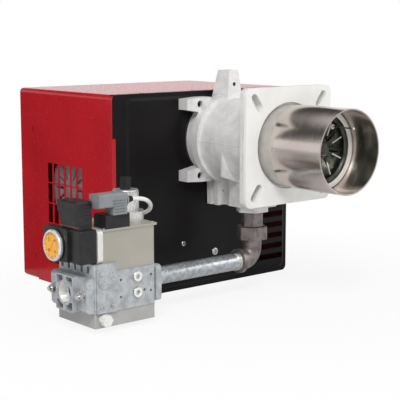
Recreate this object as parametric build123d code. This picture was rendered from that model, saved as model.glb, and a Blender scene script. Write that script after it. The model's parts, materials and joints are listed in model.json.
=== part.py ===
from build123d import *
import os
from math import cos, sin, sqrt, pi, radians, atan2

# A forced-draught gas burner: a sheet-metal cabinet with the fan, motor and air damper inside, a cast
# head with a square boiler flange and a flame tube on its front, and a gas train that hangs beside it.
# Millimetres. The origin is the centre of the cast flange's machined face, on the flame tube's axis; the
# gasket lies in front of that face.
# -Y runs out along the flame tube, +X is to the right as the boiler sees the burner, +Z is up.

# ---------------------------------------------------------------- driving dimensions
# cabinet
CASE_WIDTH = 465.0
CASE_HEIGHT = 400.0
CASE_DEPTH = 330.0
CASE_LEFT = -260.0          # left wall, from the flame tube's axis
CASE_BOTTOM = -305.0        # underside, from the flame tube's axis
PANEL_Y = 205.0             # front of the raised panel, behind the flange face
SHEET = 1.5                 # painted sheet
PANEL_SHEET = 2.0           # black front panel
PANEL_STEP = 3.0            # how far the panel's middle stands forward of its margin
PANEL_MARGIN_LEFT = 34.0
PANEL_MARGIN = 8.0
PANEL_RIM = 14.0            # depth of the panel's folded rim
PANEL_CORNER = 9.0
PANEL_OUTER_CORNER = 11.0
PANEL_SLOPE = 6.0           # width of the slope between margin and middle
REAR_CORNER = 4.0
SEAM = 0.6                  # gap between two sheet covers
SLEEVE_DEPTH = 270.0        # from the panel's front to the rear cover's seam
BASE_SHEET = 2.0
LIP_WIDTH = 9.0             # the sleeve's folded lip on the panel's left margin
LIP_TOP = 12.0
LIP_BOTTOM = -225.0
# left window
WINDOW_COLUMNS = 6
WINDOW_ROWS = 5
WINDOW_PITCH_Y = 21.5
WINDOW_PITCH_Z = 42.0
WINDOW_SLOT_Y = 16.6
WINDOW_SLOT_Z = 38.8
WINDOW_CENTRE_Y = 370.0
WINDOW_CENTRE_Z = -157.0
# air intake louvres in the front panel
LOUVRE_COUNT = 5
LOUVRE_PITCH = 23.0
LOUVRE_HEIGHT = 12.0
LOUVRE_LEFT = 90.0
LOUVRE_RIGHT = 190.0
LOUVRE_TOP_Z = -177.0
# casting and flange
FLANGE_SIZE = 222.0
FLANGE_CORNER = 13.0
GASKET = 6.0
FLANGE_PLATE = 13.0
SLOT_INSET = 26.8543        # centre of each flange slot from the two nearest sides
SLOT_WIDTH = 16.0
SLOT_LENGTH = 37.0
SLOT_ANGLE = 54.0
BARREL_RADIUS = 82.0
BARREL_BORE = 66.0
BARREL_END = 160.0
RIDGE_RADIUS = 89.0
RIDGE_SPLIT = 169.0
RIDGE_END = 178.0
NECK_RADIUS = 80.0
ARM_Z = 71.0
ARM_HOLE_X = 59.0
ARM_END_X = 111.0
ARM_RADIUS = 10.5
EAR_TOP = 136.5
EAR_HALF_TOP = 12.0
EAR_HALF_FOOT = 20.0
EAR_FRONT = 147.0
EAR_BACK = 198.0
EAR_SLOPE_FRONT = 6.0
EAR_SLOPE_BACK = 12.0
EAR_HOLE_Z = 109.0
LUG_BOTTOM = -134.0
LUG_HALF = 28.0
GAS_AXIS_Y = 96.0           # gas inlet's vertical axis, behind the flange face
GAS_BLOCK_HALF = 38.0
GAS_BLOCK_BOTTOM = -128.0
COLLAR_HEIGHT = 11.0
# flame tube and head
TUBE_RADIUS = 78.5
TUBE_WALL = 1.5
TUBE_START = -35.0
TUBE_END = -160.0
RING_WALL = 3.0
RING_END = -60.0
RING_SEAT = 25.0            # how far the ring reaches back into the casting
FIT = 0.1                   # radial clearance of round fits
HOLE_GAP = 3.5              # between the flame tube and the gasket's hole
PLATE_Y = -85.0
PLATE_RADIUS = 66.0
PLATE_SHEET = 1.5
LANCE_RADIUS = 14.0
LANCE_BORE = 11.0
# gas train
PIPE_RADIUS = 16.85
PIPE_BORE = 13.6
PIPE_Z = -235.0
ELBOW_BEND = 25.0
ELBOW_SOCKET = 14.0
COLLAR_FLATS = 58.0
NIPPLE_FLATS = 39.0
UNION_FLATS = 55.0
UNION_TOP = -172.0
UNION_BOTTOM = -194.0
VALVE_LEFT = -420.0
VALVE_RIGHT = -287.0
VALVE_FRONT = 40.0
VALVE_BACK = 152.0
VALVE_BOTTOM = -268.0
VALVE_TOP = -197.0
VALVE_LEFT_TOP = -181.0
VALVE_LEFT_END = -374.0
LOWER_COVER_BOTTOM = -295.0
COIL_TOP = -126.0
COIL_LEFT = -400.0
LID = 4.0
OUTLET_PLATE = 12.0
INLET_REACH = 25.0
INLET_HALF_Y = 27.0
INLET_HALF_Z = 32.0
INLET_BORE = 19.5
SWITCH_PLATE = 11.0
SWITCH_WIDTH = 35.0
SWITCH_DEPTH = 70.0
SWITCH_BOTTOM = -178.0
SWITCH_TOP = -120.0
DIAL_RADIUS = 28.0
DIAL_Y = 112.0
DIAL_Z = -152.0
CABLE_RADIUS = 3.8
# fan
FAN_Y = 375.0
FAN_Z = -104.0
FAN_RADIUS = 95.0
FAN_WIDTH = 80.0
FAN_HOUSING_HALF = 55.0
FAN_WALL = 3.5
SCROLL_START = 103.0
SCROLL_TOP = 159.0
OUTLET_HALF = 55.0
FAN_INLET = 62.0
FAN_BLADES = 24
MOTOR_RADIUS = 70.0
MOTOR_LENGTH = 188.0
MOTOR_FINS = 28
SHAFT_RADIUS = 7.0
DUCT_LEFT = 84.0
DUCT_RIGHT = 196.0
DUCT_TOP = -170.0
DUCT_REAR = 460.0
DUCT_STEP_Y = 305.0
DAMPER_Y = 279.0
DAMPER_SHAFT = 4.0
DAMPER_GAP = 1.0

# ---------------------------------------------------------------- derived planes
CASE_RIGHT = CASE_LEFT + CASE_WIDTH
CASE_TOP = CASE_BOTTOM + CASE_HEIGHT
CASE_BACK = PANEL_Y + CASE_DEPTH
MARGIN_Y = PANEL_Y + PANEL_STEP
PANEL_BACK = PANEL_Y + PANEL_SHEET
SEAM_Y = PANEL_Y + SLEEVE_DEPTH
BASE_TOP = CASE_BOTTOM + BASE_SHEET
FLANGE_BACK = FLANGE_PLATE
RING_RADIUS = TUBE_RADIUS - TUBE_WALL - FIT
HOLE_RADIUS = TUBE_RADIUS + HOLE_GAP
SWITCH_RIGHT = COIL_LEFT - SWITCH_PLATE
SWITCH_LEFT = SWITCH_RIGHT - SWITCH_WIDTH
NUT_SEAT = EAR_BACK - EAR_SLOPE_BACK + 3
COLLAR_BOTTOM = GAS_BLOCK_BOTTOM - COLLAR_HEIGHT
NOZZLE_FRONT = PLATE_Y - 12


# ---------------------------------------------------------------- shape helpers
def block(x0, x1, y0, y1, z0, z1):
    """A box between two opposite corners."""
    return Pos((x0 + x1) / 2, (y0 + y1) / 2, (z0 + z1) / 2) * Box(x1 - x0, y1 - y0, z1 - z0)


def along_x(y, z, x0, x1, radius):
    """A cylinder along X."""
    return Pos((x0 + x1) / 2, y, z) * Rot(0, 90, 0) * Cylinder(radius, x1 - x0)


def along_y(x, z, y0, y1, radius):
    """A cylinder along Y."""
    return Pos(x, (y0 + y1) / 2, z) * Rot(90, 0, 0) * Cylinder(radius, y1 - y0)


def along_z(x, y, z0, z1, radius):
    """A cylinder along Z."""
    return Pos(x, y, (z0 + z1) / 2) * Cylinder(radius, z1 - z0)


def tube_y(y0, y1, outer, inner):
    """A ring or tube on the flame tube's axis."""
    return along_y(0, 0, y0, y1, outer) - along_y(0, 0, y0 - 1, y1 + 1, inner)


def hexagon_z(x, y, z0, z1, flats):
    """A hexagonal prism along Z, chamfered on both ends."""
    prism = extrude(RegularPolygon(flats / sqrt(3), 6), z1 - z0)
    reach = flats / sqrt(3)
    cone = Cylinder(reach * 0.96, z1 - z0, align=(Align.CENTER, Align.CENTER, Align.MIN))
    return Pos(x, y, z0) * (prism & cone)


def hexagon_x(y, z, x0, x1, flats):
    """A hexagonal prism along X."""
    return Pos(x0, y, z) * Rot(0, 90, 0) * extrude(RegularPolygon(flats / sqrt(3), 6), x1 - x0)


def hexagon_y(x, z, y0, y1, flats):
    """A hexagonal prism along Y."""
    return Pos(x, y1, z) * Rot(90, 0, 0) * extrude(RegularPolygon(flats / sqrt(3), 6), y1 - y0)


def rounded_plate_y(x0, x1, z0, z1, y0, y1, corner):
    """A plate with rounded corners that faces -Y."""
    outline = Pos((x0 + x1) / 2, y1, (z0 + z1) / 2) * Rot(90, 0, 0) * RectangleRounded(
        x1 - x0, z1 - z0, corner)
    return extrude(outline, y1 - y0)


def upright_block(x0, x1, y0, y1, z0, z1, corner):
    """A block with rounded vertical edges."""
    outline = Pos((x0 + x1) / 2, (y0 + y1) / 2, z0) * RectangleRounded(x1 - x0, y1 - y0, corner)
    return extrude(outline, z1 - z0)


def yz_prism(points, x0, x1):
    """A prism along X over an outline given as (y, z) points."""
    wire = Polyline(*[(x0, y, z) for y, z in points], close=True)
    return extrude(make_face(wire), x1 - x0, dir=(1, 0, 0))


def xz_prism(points, y0, y1):
    """A prism along Y over an outline given as (x, z) points."""
    wire = Polyline(*[(x, y0, z) for x, z in points], close=True)
    return extrude(make_face(wire), y1 - y0, dir=(0, 1, 0))


NODES = {}


def node(name, *solids):
    """Keeps one named sub-part: one solid, or several separate ones."""
    shapes = [s for piece in solids for s in piece.solids()]
    NODES[name] = shapes[0] if len(shapes) == 1 else Compound(children=shapes)


# ---------------------------------------------------------------- cabinet
def front_panel():
    """Black pressed panel: a raised middle, a margin, a folded rim, louvres and the neck's opening."""
    left = CASE_LEFT + SHEET + 0.2
    margin = rounded_plate_y(left, CASE_RIGHT, CASE_BOTTOM, CASE_TOP, MARGIN_Y, MARGIN_Y + PANEL_SHEET,
                             PANEL_OUTER_CORNER)
    rim = rounded_plate_y(left, CASE_RIGHT, CASE_BOTTOM, CASE_TOP, MARGIN_Y, MARGIN_Y + PANEL_RIM,
                          PANEL_OUTER_CORNER)
    rim -= rounded_plate_y(left + PANEL_SHEET, CASE_RIGHT - PANEL_SHEET, CASE_BOTTOM + PANEL_SHEET,
                           CASE_TOP - PANEL_SHEET, MARGIN_Y - 1, CASE_BACK, PANEL_OUTER_CORNER - 5)
    panel = margin + rim + raised_middle(0, PANEL_Y) - raised_middle(PANEL_SHEET * 1.2, PANEL_BACK)
    panel -= along_y(0, 0, PANEL_Y - 1, MARGIN_Y + 5, BARREL_BORE)
    for row in range(LOUVRE_COUNT):
        z = LOUVRE_TOP_Z - row * LOUVRE_PITCH
        panel -= rounded_plate_y(LOUVRE_LEFT, LOUVRE_RIGHT, z - LOUVRE_HEIGHT / 2, z + LOUVRE_HEIGHT / 2,
                                 PANEL_Y - 1, MARGIN_Y + 5, 2.5)
    return panel


def raised_middle(inset, front):
    """The pressed middle as a solid with sloping sides; inset makes the hollow behind it."""
    x0, x1 = CASE_LEFT + PANEL_MARGIN_LEFT + inset, CASE_RIGHT - PANEL_MARGIN - inset
    z0, z1 = CASE_BOTTOM + PANEL_MARGIN + inset, CASE_TOP - PANEL_MARGIN - inset
    ends = []
    for y, slope in ((front + PANEL_STEP, 0), (front, PANEL_SLOPE)):
        outline = RectangleRounded(x1 - x0 - 2 * slope, z1 - z0 - 2 * slope, PANEL_OUTER_CORNER)
        ends.append((Pos((x0 + x1) / 2, y, (z0 + z1) / 2) * Rot(90, 0, 0) * outline).face())
    return loft(ends)


def sleeve():
    """Red wrap-round sleeve: left, top and right walls, with the slotted window on the left."""
    y0 = MARGIN_Y + PANEL_RIM + SEAM
    outer = block(CASE_LEFT, CASE_RIGHT, y0, SEAM_Y, CASE_BOTTOM, CASE_TOP)
    outer = fillet(outer.edges().filter_by(Axis.Y).group_by(Axis.Z)[-1], PANEL_CORNER)
    inner = block(CASE_LEFT + SHEET, CASE_RIGHT - SHEET, PANEL_Y - 5, SEAM_Y + 1, CASE_BOTTOM - 1,
                  CASE_TOP - SHEET)
    inner = fillet(inner.edges().filter_by(Axis.Y).group_by(Axis.Z)[-1], PANEL_CORNER - SHEET)
    body = outer - inner
    strip = block(CASE_LEFT, CASE_RIGHT, MARGIN_Y - SHEET, y0, CASE_BOTTOM, CASE_TOP)
    strip = fillet(strip.edges().filter_by(Axis.Y).group_by(Axis.Z)[-1], PANEL_CORNER) - inner
    body += strip & block(CASE_LEFT, CASE_LEFT + 3.5, MARGIN_Y - SHEET, y0, CASE_BOTTOM, CASE_TOP)
    body += block(CASE_LEFT, CASE_LEFT + LIP_WIDTH, MARGIN_Y - SHEET, MARGIN_Y, LIP_BOTTOM, LIP_TOP)
    for column in range(WINDOW_COLUMNS):
        y = WINDOW_CENTRE_Y + (column - (WINDOW_COLUMNS - 1) / 2) * WINDOW_PITCH_Y
        for row in range(WINDOW_ROWS):
            z = WINDOW_CENTRE_Z + (row - (WINDOW_ROWS - 1) / 2) * WINDOW_PITCH_Z
            body -= block(CASE_LEFT - 1, CASE_LEFT + SHEET + 1, y - WINDOW_SLOT_Y / 2,
                          y + WINDOW_SLOT_Y / 2, z - WINDOW_SLOT_Z / 2, z + WINDOW_SLOT_Z / 2)
    return body


COVER_LIP = 8.0
CLIP_Z = (-257.0, 11.0)
CLIP_Y = SEAM_Y + 10.0


def cover_ring(inset, y0, y1):
    """A rounded block inside the cabinet's outline."""
    ring = block(CASE_LEFT + inset, CASE_RIGHT - inset, y0, y1, CASE_BOTTOM + inset, CASE_TOP - inset)
    return fillet(ring.edges().filter_by(Axis.Y), PANEL_CORNER - inset)


cover_hollow = cover_ring


def rear_cover():
    """Red cap over the back of the cabinet, with a lip that enters the sleeve."""
    y0 = SEAM_Y + SEAM
    outer = block(CASE_LEFT, CASE_RIGHT, y0, CASE_BACK, CASE_BOTTOM, CASE_TOP)
    outer = fillet(outer.edges().filter_by(Axis.Y), PANEL_CORNER)
    outer = fillet(outer.faces().sort_by(Axis.Y)[-1].edges(), REAR_CORNER)
    inner = block(CASE_LEFT + SHEET, CASE_RIGHT - SHEET, y0 - 1, CASE_BACK - SHEET,
                  CASE_BOTTOM + SHEET, CASE_TOP - SHEET)
    inner = fillet(inner.edges().filter_by(Axis.Y), PANEL_CORNER - SHEET)
    inner = fillet(inner.faces().sort_by(Axis.Y)[-1].edges(), REAR_CORNER - SHEET)
    cover = outer - inner
    slack = SHEET + 0.4
    lip = cover_ring(slack, y0 - COVER_LIP, y0 + 4) + cover_ring(SHEET - 0.4, y0, y0 + 4)
    cover += lip - cover_hollow(slack + SHEET, y0 - COVER_LIP - 1, y0 + 5)
    for z in CLIP_Z:
        cover -= block(CASE_LEFT - 1, CASE_RIGHT + 1, CLIP_Y - 1.5, CLIP_Y + 1.5, z - 6, z + 6)
    return cover


def cover_screws():
    """Set screws behind the cover's side slots, each in its spring clip."""
    screws = []
    for z in CLIP_Z:
        for wall, way in ((CASE_LEFT + SHEET, 1), (CASE_RIGHT - SHEET, -1)):
            x0, x1 = sorted((wall, wall + way * 1.5))
            clip = block(x0, x1, CLIP_Y - 4, CLIP_Y + 11, z - 9, z + 9)
            x2, x3 = sorted((wall + way * 0.5, wall + way * 6))
            clip += block(x2, x3, CLIP_Y + 9.5, CLIP_Y + 11, z - 9, z + 9)
            x4, x5 = sorted((wall - way * 1.2, wall + way * 5))
            screws.append(clip + along_x(CLIP_Y, z, x4, x5, 1.3))
    return screws


def base_plate():
    """Black bottom plate with turned-up side edges."""
    left, right = CASE_LEFT + SHEET + 0.2, CASE_RIGHT - SHEET - 0.2
    y0 = MARGIN_Y + PANEL_RIM + SEAM
    plate = block(left, right, y0, SEAM_Y - 9, CASE_BOTTOM, BASE_TOP)
    plate += block(left, left + PANEL_SHEET, y0, SEAM_Y - 9, CASE_BOTTOM, BASE_TOP + 15)
    plate += block(right - PANEL_SHEET, right, y0, SEAM_Y - 9, CASE_BOTTOM, BASE_TOP + 15)
    return plate


PANEL_SCREWS = ((-88.0, -210.0, 5.2), (-4.0, -237.0, 8.0), (-208.0, -282.0, 5.2), (60.0, -282.0, 5.2))


def panel_screws():
    """Pan-head screws on the front panel."""
    heads = []
    for x, z, radius in PANEL_SCREWS:
        head = along_y(x, z, PANEL_Y - 3.4, PANEL_Y, radius)
        head = fillet(head.edges().sort_by(Axis.Y)[0], 2.0)
        head -= block(x - 3.2, x + 3.2, PANEL_Y - 5, PANEL_Y - 2.2, z - 0.7, z + 0.7)
        head -= block(x - 0.7, x + 0.7, PANEL_Y - 5, PANEL_Y - 2.2, z - 3.2, z + 3.2)
        heads.append(head)
    return heads


# ---------------------------------------------------------------- fan, motor and air damper
def scroll_point(turn, shrink):
    """A point of the scroll: turn runs 0 at the tongue to 1 at the top; shrink moves it inwards."""
    rise = SCROLL_TOP - OUTLET_HALF * 2
    start = pi - atan2(rise, sqrt(SCROLL_START ** 2 - rise ** 2))
    angle = start + turn * (3 * pi / 2 + pi - start)
    radius = SCROLL_START + (SCROLL_TOP - SCROLL_START) * turn - shrink
    return FAN_Y + radius * cos(angle), FAN_Z + radius * sin(angle)


def scroll_solid(shrink, x0, x1, mouth):
    """The scroll and its outlet duct as a closed prism along X."""
    turns = [k / 10 for k in range(11)]
    curve = [scroll_point(t, shrink) for t in turns]
    top_z = FAN_Z + SCROLL_TOP - shrink
    low_z = FAN_Z + SCROLL_TOP - OUTLET_HALF * 2 + shrink
    first = (curve[0][0], low_z)
    curve[0] = first
    curve[-1] = (FAN_Y, top_z)
    spiral = Spline(*[(x0, y, z) for y, z in curve])
    lines = Polyline((x0, *curve[-1]), (x0, mouth, top_z), (x0, mouth, low_z), (x0, *curve[0]))
    return extrude(make_face(Wire(spiral.edges() + lines.edges())), x1 - x0, dir=(1, 0, 0))


def fan_housing():
    """Aluminium scroll casing, bolted to the back of the panel by its outlet flange."""
    outer = scroll_solid(0, -FAN_HOUSING_HALF, FAN_HOUSING_HALF, PANEL_BACK)
    inner = scroll_solid(FAN_WALL, -FAN_HOUSING_HALF + FAN_WALL, FAN_HOUSING_HALF - FAN_WALL, PANEL_BACK - 1)
    flange = rounded_plate_y(-FAN_HOUSING_HALF - 22, FAN_HOUSING_HALF + 22, -OUTLET_HALF - 22,
                             OUTLET_HALF + 22, PANEL_BACK, PANEL_BACK + 5, 8)
    opening = block(-FAN_HOUSING_HALF + FAN_WALL, FAN_HOUSING_HALF - FAN_WALL, PANEL_BACK - 1,
                    PANEL_BACK + 9, -OUTLET_HALF + FAN_WALL, OUTLET_HALF - FAN_WALL)
    casing = outer + flange - inner - opening
    casing -= along_x(FAN_Y, FAN_Z, 0, FAN_HOUSING_HALF + 1, FAN_INLET)
    casing -= along_x(FAN_Y, FAN_Z, -FAN_HOUSING_HALF - 1, 0, SHAFT_RADIUS + 5)
    return casing


def fan_wheel():
    """Forward-curved centrifugal wheel: back disc, hub, blades and a front ring."""
    x0 = -FAN_WIDTH / 2
    x1 = FAN_WIDTH / 2
    disc = along_x(FAN_Y, FAN_Z, x0, x0 + 2, FAN_RADIUS)
    hub = along_x(FAN_Y, FAN_Z, x0 - 6, x0 + 22, 16)
    ring = along_x(FAN_Y, FAN_Z, x1 - 2, x1, FAN_RADIUS) - along_x(FAN_Y, FAN_Z, x1 - 3, x1 + 1,
                                                                  FAN_RADIUS - 20)
    wheel = disc + hub + ring
    blade = Box(x1 - x0 - 2, 20, 1.6)
    for k in range(FAN_BLADES):
        angle = k * 360 / FAN_BLADES
        place = Pos(0, FAN_Y, FAN_Z) * Rot(angle, 0, 0) * Pos(0, FAN_RADIUS - 11.5, 0) * Rot(35, 0, 0)
        wheel += place * blade
    wheel -= along_x(FAN_Y, FAN_Z, x0 - 7, x1, SHAFT_RADIUS)
    return wheel


def motor_shaft():
    """Shaft from the motor into the wheel's hub, fixed to the wheel."""
    x0 = -FAN_HOUSING_HALF - MOTOR_LENGTH + 12
    return along_x(FAN_Y, FAN_Z, x0, -FAN_WIDTH / 2 + 22, SHAFT_RADIUS)


def motor_housing():
    """Finned aluminium motor body, open through the middle for the shaft."""
    x0, x1 = -FAN_HOUSING_HALF - MOTOR_LENGTH + 24, -FAN_HOUSING_HALF
    body = along_x(FAN_Y, FAN_Z, x0, x1, MOTOR_RADIUS - 7)
    fin = block(x0, x1 - 12, -1.3, 1.3, MOTOR_RADIUS - 9, MOTOR_RADIUS)
    for k in range(MOTOR_FINS):
        body += Pos(0, FAN_Y, FAN_Z) * Rot(k * 360 / MOTOR_FINS, 0, 0) * fin
    body += along_x(FAN_Y, FAN_Z, x1 - 10, x1, MOTOR_RADIUS)
    body -= along_x(FAN_Y, FAN_Z, x0 - 1, x1 + 1, SHAFT_RADIUS + 0.05)
    return body


def motor_end_cap():
    """End shield on the motor's outer end, with air slots."""
    x0 = -FAN_HOUSING_HALF - MOTOR_LENGTH
    x1 = x0 + 24
    cap = along_x(FAN_Y, FAN_Z, x0, x1, MOTOR_RADIUS)
    cap = fillet(cap.edges().sort_by(Axis.X)[0], 8)
    cap -= along_x(FAN_Y, FAN_Z, x0 + 3, x1 + 1, MOTOR_RADIUS - 4)
    for k in range(12):
        cap -= Pos(0, FAN_Y, FAN_Z) * Rot(k * 30, 0, 0) * block(x0 - 1, x0 + 5, -2.5, 2.5, 20, 54)
    return cap


def inlet_ring():
    """Spun ring that guides air into the wheel."""
    x0, x1 = FAN_HOUSING_HALF - 10, FAN_HOUSING_HALF + 3
    ring = along_x(FAN_Y, FAN_Z, FAN_HOUSING_HALF, x1, FAN_INLET + 8)
    ring += along_x(FAN_Y, FAN_Z, x0, x1, FAN_INLET - 0.3)
    return ring - along_x(FAN_Y, FAN_Z, x0 - 1, x1 + 1, FAN_INLET - 4)


def air_duct():
    """Sheet duct from the louvres to the fan inlet."""
    left_rear = FAN_HOUSING_HALF + 3
    top_rear = FAN_Z + FAN_INLET + 14
    outline = [(MARGIN_Y + PANEL_SHEET, BASE_TOP), (DUCT_REAR, BASE_TOP), (DUCT_REAR, top_rear),
               (DUCT_STEP_Y, top_rear), (DUCT_STEP_Y, DUCT_TOP), (MARGIN_Y + PANEL_SHEET, DUCT_TOP)]
    w = SHEET
    y_front = PANEL_BACK - 1
    inside = [(y_front, BASE_TOP + w), (DUCT_REAR - w, BASE_TOP + w), (DUCT_REAR - w, top_rear - w),
              (DUCT_STEP_Y + w, top_rear - w), (DUCT_STEP_Y + w, DUCT_TOP - w), (y_front, DUCT_TOP - w)]
    outer = yz_prism(outline, left_rear, DUCT_RIGHT)
    inner = yz_prism(inside, left_rear + w, DUCT_RIGHT - w)
    outer -= block(left_rear - 1, DUCT_LEFT, MARGIN_Y, DUCT_STEP_Y, CASE_BOTTOM, CASE_TOP)
    inner -= block(left_rear - 1, DUCT_LEFT + w, MARGIN_Y - 9, DUCT_STEP_Y + w, CASE_BOTTOM, CASE_TOP)
    duct = outer - inner
    duct -= along_x(FAN_Y, FAN_Z, left_rear - 1, left_rear + w + 1, FAN_INLET - 4)
    duct -= along_x(DAMPER_Y, DAMPER_Z, DUCT_LEFT - 5, DUCT_RIGHT + 1, DAMPER_SHAFT + 0.3)
    return duct


DAMPER_Z = (DUCT_TOP + BASE_TOP) / 2
DAMPER_HALF = (DUCT_TOP - BASE_TOP) / 2 - SHEET - DAMPER_GAP


def damper_blade():
    """Flat flap with a stiffening bead round the shaft; upright across the duct when closed."""
    x0, x1 = DUCT_LEFT + SHEET + DAMPER_GAP, DUCT_RIGHT - SHEET - DAMPER_GAP
    flap = block(x0, x1, DAMPER_Y - 1, DAMPER_Y + 1, DAMPER_Z - DAMPER_HALF, DAMPER_Z + DAMPER_HALF)
    flap += along_x(DAMPER_Y, DAMPER_Z, x0, x1, DAMPER_SHAFT + 3)
    return flap - along_x(DAMPER_Y, DAMPER_Z, x0 - 1, x1 + 1, DAMPER_SHAFT)


SERVO_LEFT = DUCT_LEFT - 56


def damper_shaft():
    """Round shaft through the duct into the servo."""
    return along_x(DAMPER_Y, DAMPER_Z, SERVO_LEFT + 30, DUCT_RIGHT + 4, DAMPER_SHAFT)


def damper_servo():
    """Damper motor on the duct's left wall, with its cover step and a socket for the shaft."""
    body = block(SERVO_LEFT, DUCT_LEFT, DAMPER_Y - 27, DAMPER_Y + 23, DAMPER_Z - 33, DAMPER_Z + 27)
    body = fillet(body.edges().filter_by(Axis.X), 5)
    body -= block(SERVO_LEFT - 1, SERVO_LEFT + 3, DAMPER_Y - 20, DAMPER_Y + 16, DAMPER_Z - 25, DAMPER_Z + 19)
    return body - along_x(DAMPER_Y, DAMPER_Z, SERVO_LEFT + 28, DUCT_LEFT + 1, DAMPER_SHAFT + 0.06)


CONTROL_LEFT = CASE_LEFT + 55
CONTROL_WIDTH = 90.0
CONTROL_DEPTH = 60.0
CONTROL_BOTTOM = -32.0
CONTROL_HEIGHT = 95.0
BUTTON_RADIUS = 9.0
BUTTON_TRAVEL = 3.0


def control_box():
    """Flame safeguard behind the panel, with a round well for its reset button."""
    y1 = PANEL_BACK + CONTROL_DEPTH
    box = block(CONTROL_LEFT, CONTROL_LEFT + CONTROL_WIDTH, PANEL_BACK, y1, CONTROL_BOTTOM,
                CONTROL_BOTTOM + CONTROL_HEIGHT)
    box = fillet(box.faces().sort_by(Axis.Y)[-1].edges(), 4)
    return box - along_y(*button_place(), y1 - 12, y1 + 1, BUTTON_RADIUS + 0.4)


def button_place():
    """Centre of the reset button, as (x, z)."""
    return CONTROL_LEFT + CONTROL_WIDTH / 2, CONTROL_BOTTOM + CONTROL_HEIGHT * 0.68


def reset_button():
    """Round lock-out reset button."""
    y1 = PANEL_BACK + CONTROL_DEPTH
    button = along_y(*button_place(), y1 - 12 + BUTTON_TRAVEL + 0.5, y1 + 5, BUTTON_RADIUS)
    return fillet(button.edges().sort_by(Axis.Y)[-1], 1.5)


def ignition_transformer():
    """Potted transformer on the base plate, with two high-voltage sockets."""
    body = upright_block(-200, -92, 322, 428, BASE_TOP, BASE_TOP + 74, 6)
    for x in (-172, -120):
        body += along_z(x, 375, BASE_TOP + 74, BASE_TOP + 86, 9)
        body -= along_z(x, 375, BASE_TOP + 80, BASE_TOP + 87, 5)
    return body


def air_pressure_switch():
    """Round diaphragm switch on top of the fan outlet."""
    foot = FAN_Z + SCROLL_TOP
    return along_z(0, 300, foot, foot + 10, 30) + along_z(0, 300, foot + 10, foot + 26, 22)


# ---------------------------------------------------------------- cast head
def flange_slots(y0, y1):
    """Cutters for the four slotted boiler bolt holes."""
    cutters = []
    for sx in (-1, 1):
        for sz in (-1, 1):
            x = sx * (FLANGE_SIZE / 2 - SLOT_INSET)
            z = sz * (FLANGE_SIZE / 2 - SLOT_INSET)
            outline = Pos(x, y1, z) * Rot(90, 0, 0) * Rot(0, 0, sx * sz * SLOT_ANGLE) * SlotOverall(
                SLOT_LENGTH, SLOT_WIDTH)
            cutters.append(extrude(outline, y1 - y0))
    return cutters


def top_ear(y0, y1):
    """The part between y0 and y1 of the ear on top, which tapers upwards on all four sides."""
    foot = BARREL_BORE + 8
    across = xz_prism([(-EAR_HALF_FOOT, foot), (EAR_HALF_FOOT, foot), (EAR_HALF_TOP, EAR_TOP),
                       (-EAR_HALF_TOP, EAR_TOP)], y0, y1)
    along = yz_prism([(EAR_FRONT, foot), (EAR_BACK, foot), (EAR_BACK - EAR_SLOPE_BACK, EAR_TOP),
                      (EAR_FRONT + EAR_SLOPE_FRONT, EAR_TOP)], -EAR_HALF_FOOT, EAR_HALF_FOOT)
    return across & along


def head_casting():
    """Front casting: square flange, barrel, ridge, ear and the gas inlet block."""
    half = FLANGE_SIZE / 2
    body = rounded_plate_y(-half, half, -half, half, 0, FLANGE_BACK, FLANGE_CORNER)
    body = chamfer(body.faces().sort_by(Axis.Y)[-1].edges(), 2)
    body += along_y(0, 0, FLANGE_BACK - 1, BARREL_END, BARREL_RADIUS)
    body += along_y(0, 0, BARREL_END, RIDGE_SPLIT, RIDGE_RADIUS)
    body += top_ear(EAR_FRONT, RIDGE_SPLIT)
    block_y0, block_y1 = GAS_AXIS_Y - GAS_BLOCK_HALF, GAS_AXIS_Y + GAS_BLOCK_HALF
    body += upright_block(-GAS_BLOCK_HALF, GAS_BLOCK_HALF, block_y0, block_y1, GAS_BLOCK_BOTTOM, -60, 14)
    body += hexagon_z(0, GAS_AXIS_Y, COLLAR_BOTTOM, GAS_BLOCK_BOTTOM, COLLAR_FLATS)
    body += block(-20, 20, block_y1 - 8, RIDGE_SPLIT, LUG_BOTTOM + 3, -70)
    for side in (-1, 1):
        body += xz_prism([(side * x, z) for x, z in ((80.5, -14), (80.5, -64), (34, -80), (34, -30))], 94, 99)
        body += xz_prism([(side * x, z) for x, z in ((GAS_BLOCK_HALF - 3, -64), (GAS_BLOCK_HALF + 12, -70),
                                                     (GAS_BLOCK_HALF + 12, -90), (GAS_BLOCK_HALF - 3, -112))],
                         FLANGE_BACK, 66)
        for turn in (58, 122):
            rib = yz_prism([(FLANGE_BACK - 1, 30), (FLANGE_BACK - 1, 100), (FLANGE_BACK + 24, BARREL_RADIUS - 2),
                            (FLANGE_BACK + 24, 30)], -2.5, 2.5)
            body += Rot(0, side * turn, 0) * rib
    body -= along_y(0, 0, RING_SEAT, RIDGE_SPLIT + 1, BARREL_BORE)
    body -= along_y(0, 0, -1, RING_SEAT, RING_RADIUS + FIT)
    body -= along_z(0, GAS_AXIS_Y, COLLAR_BOTTOM - 1, -40, PIPE_RADIUS)
    for cutter in flange_slots(-1, FLANGE_BACK + 1):
        body -= cutter
    body -= along_y(0, EAR_HOLE_Z, EAR_FRONT - 1, RIDGE_SPLIT + 1, 4.2)
    body -= along_x(160, -104, -21, -14, 3)
    return body


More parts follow.
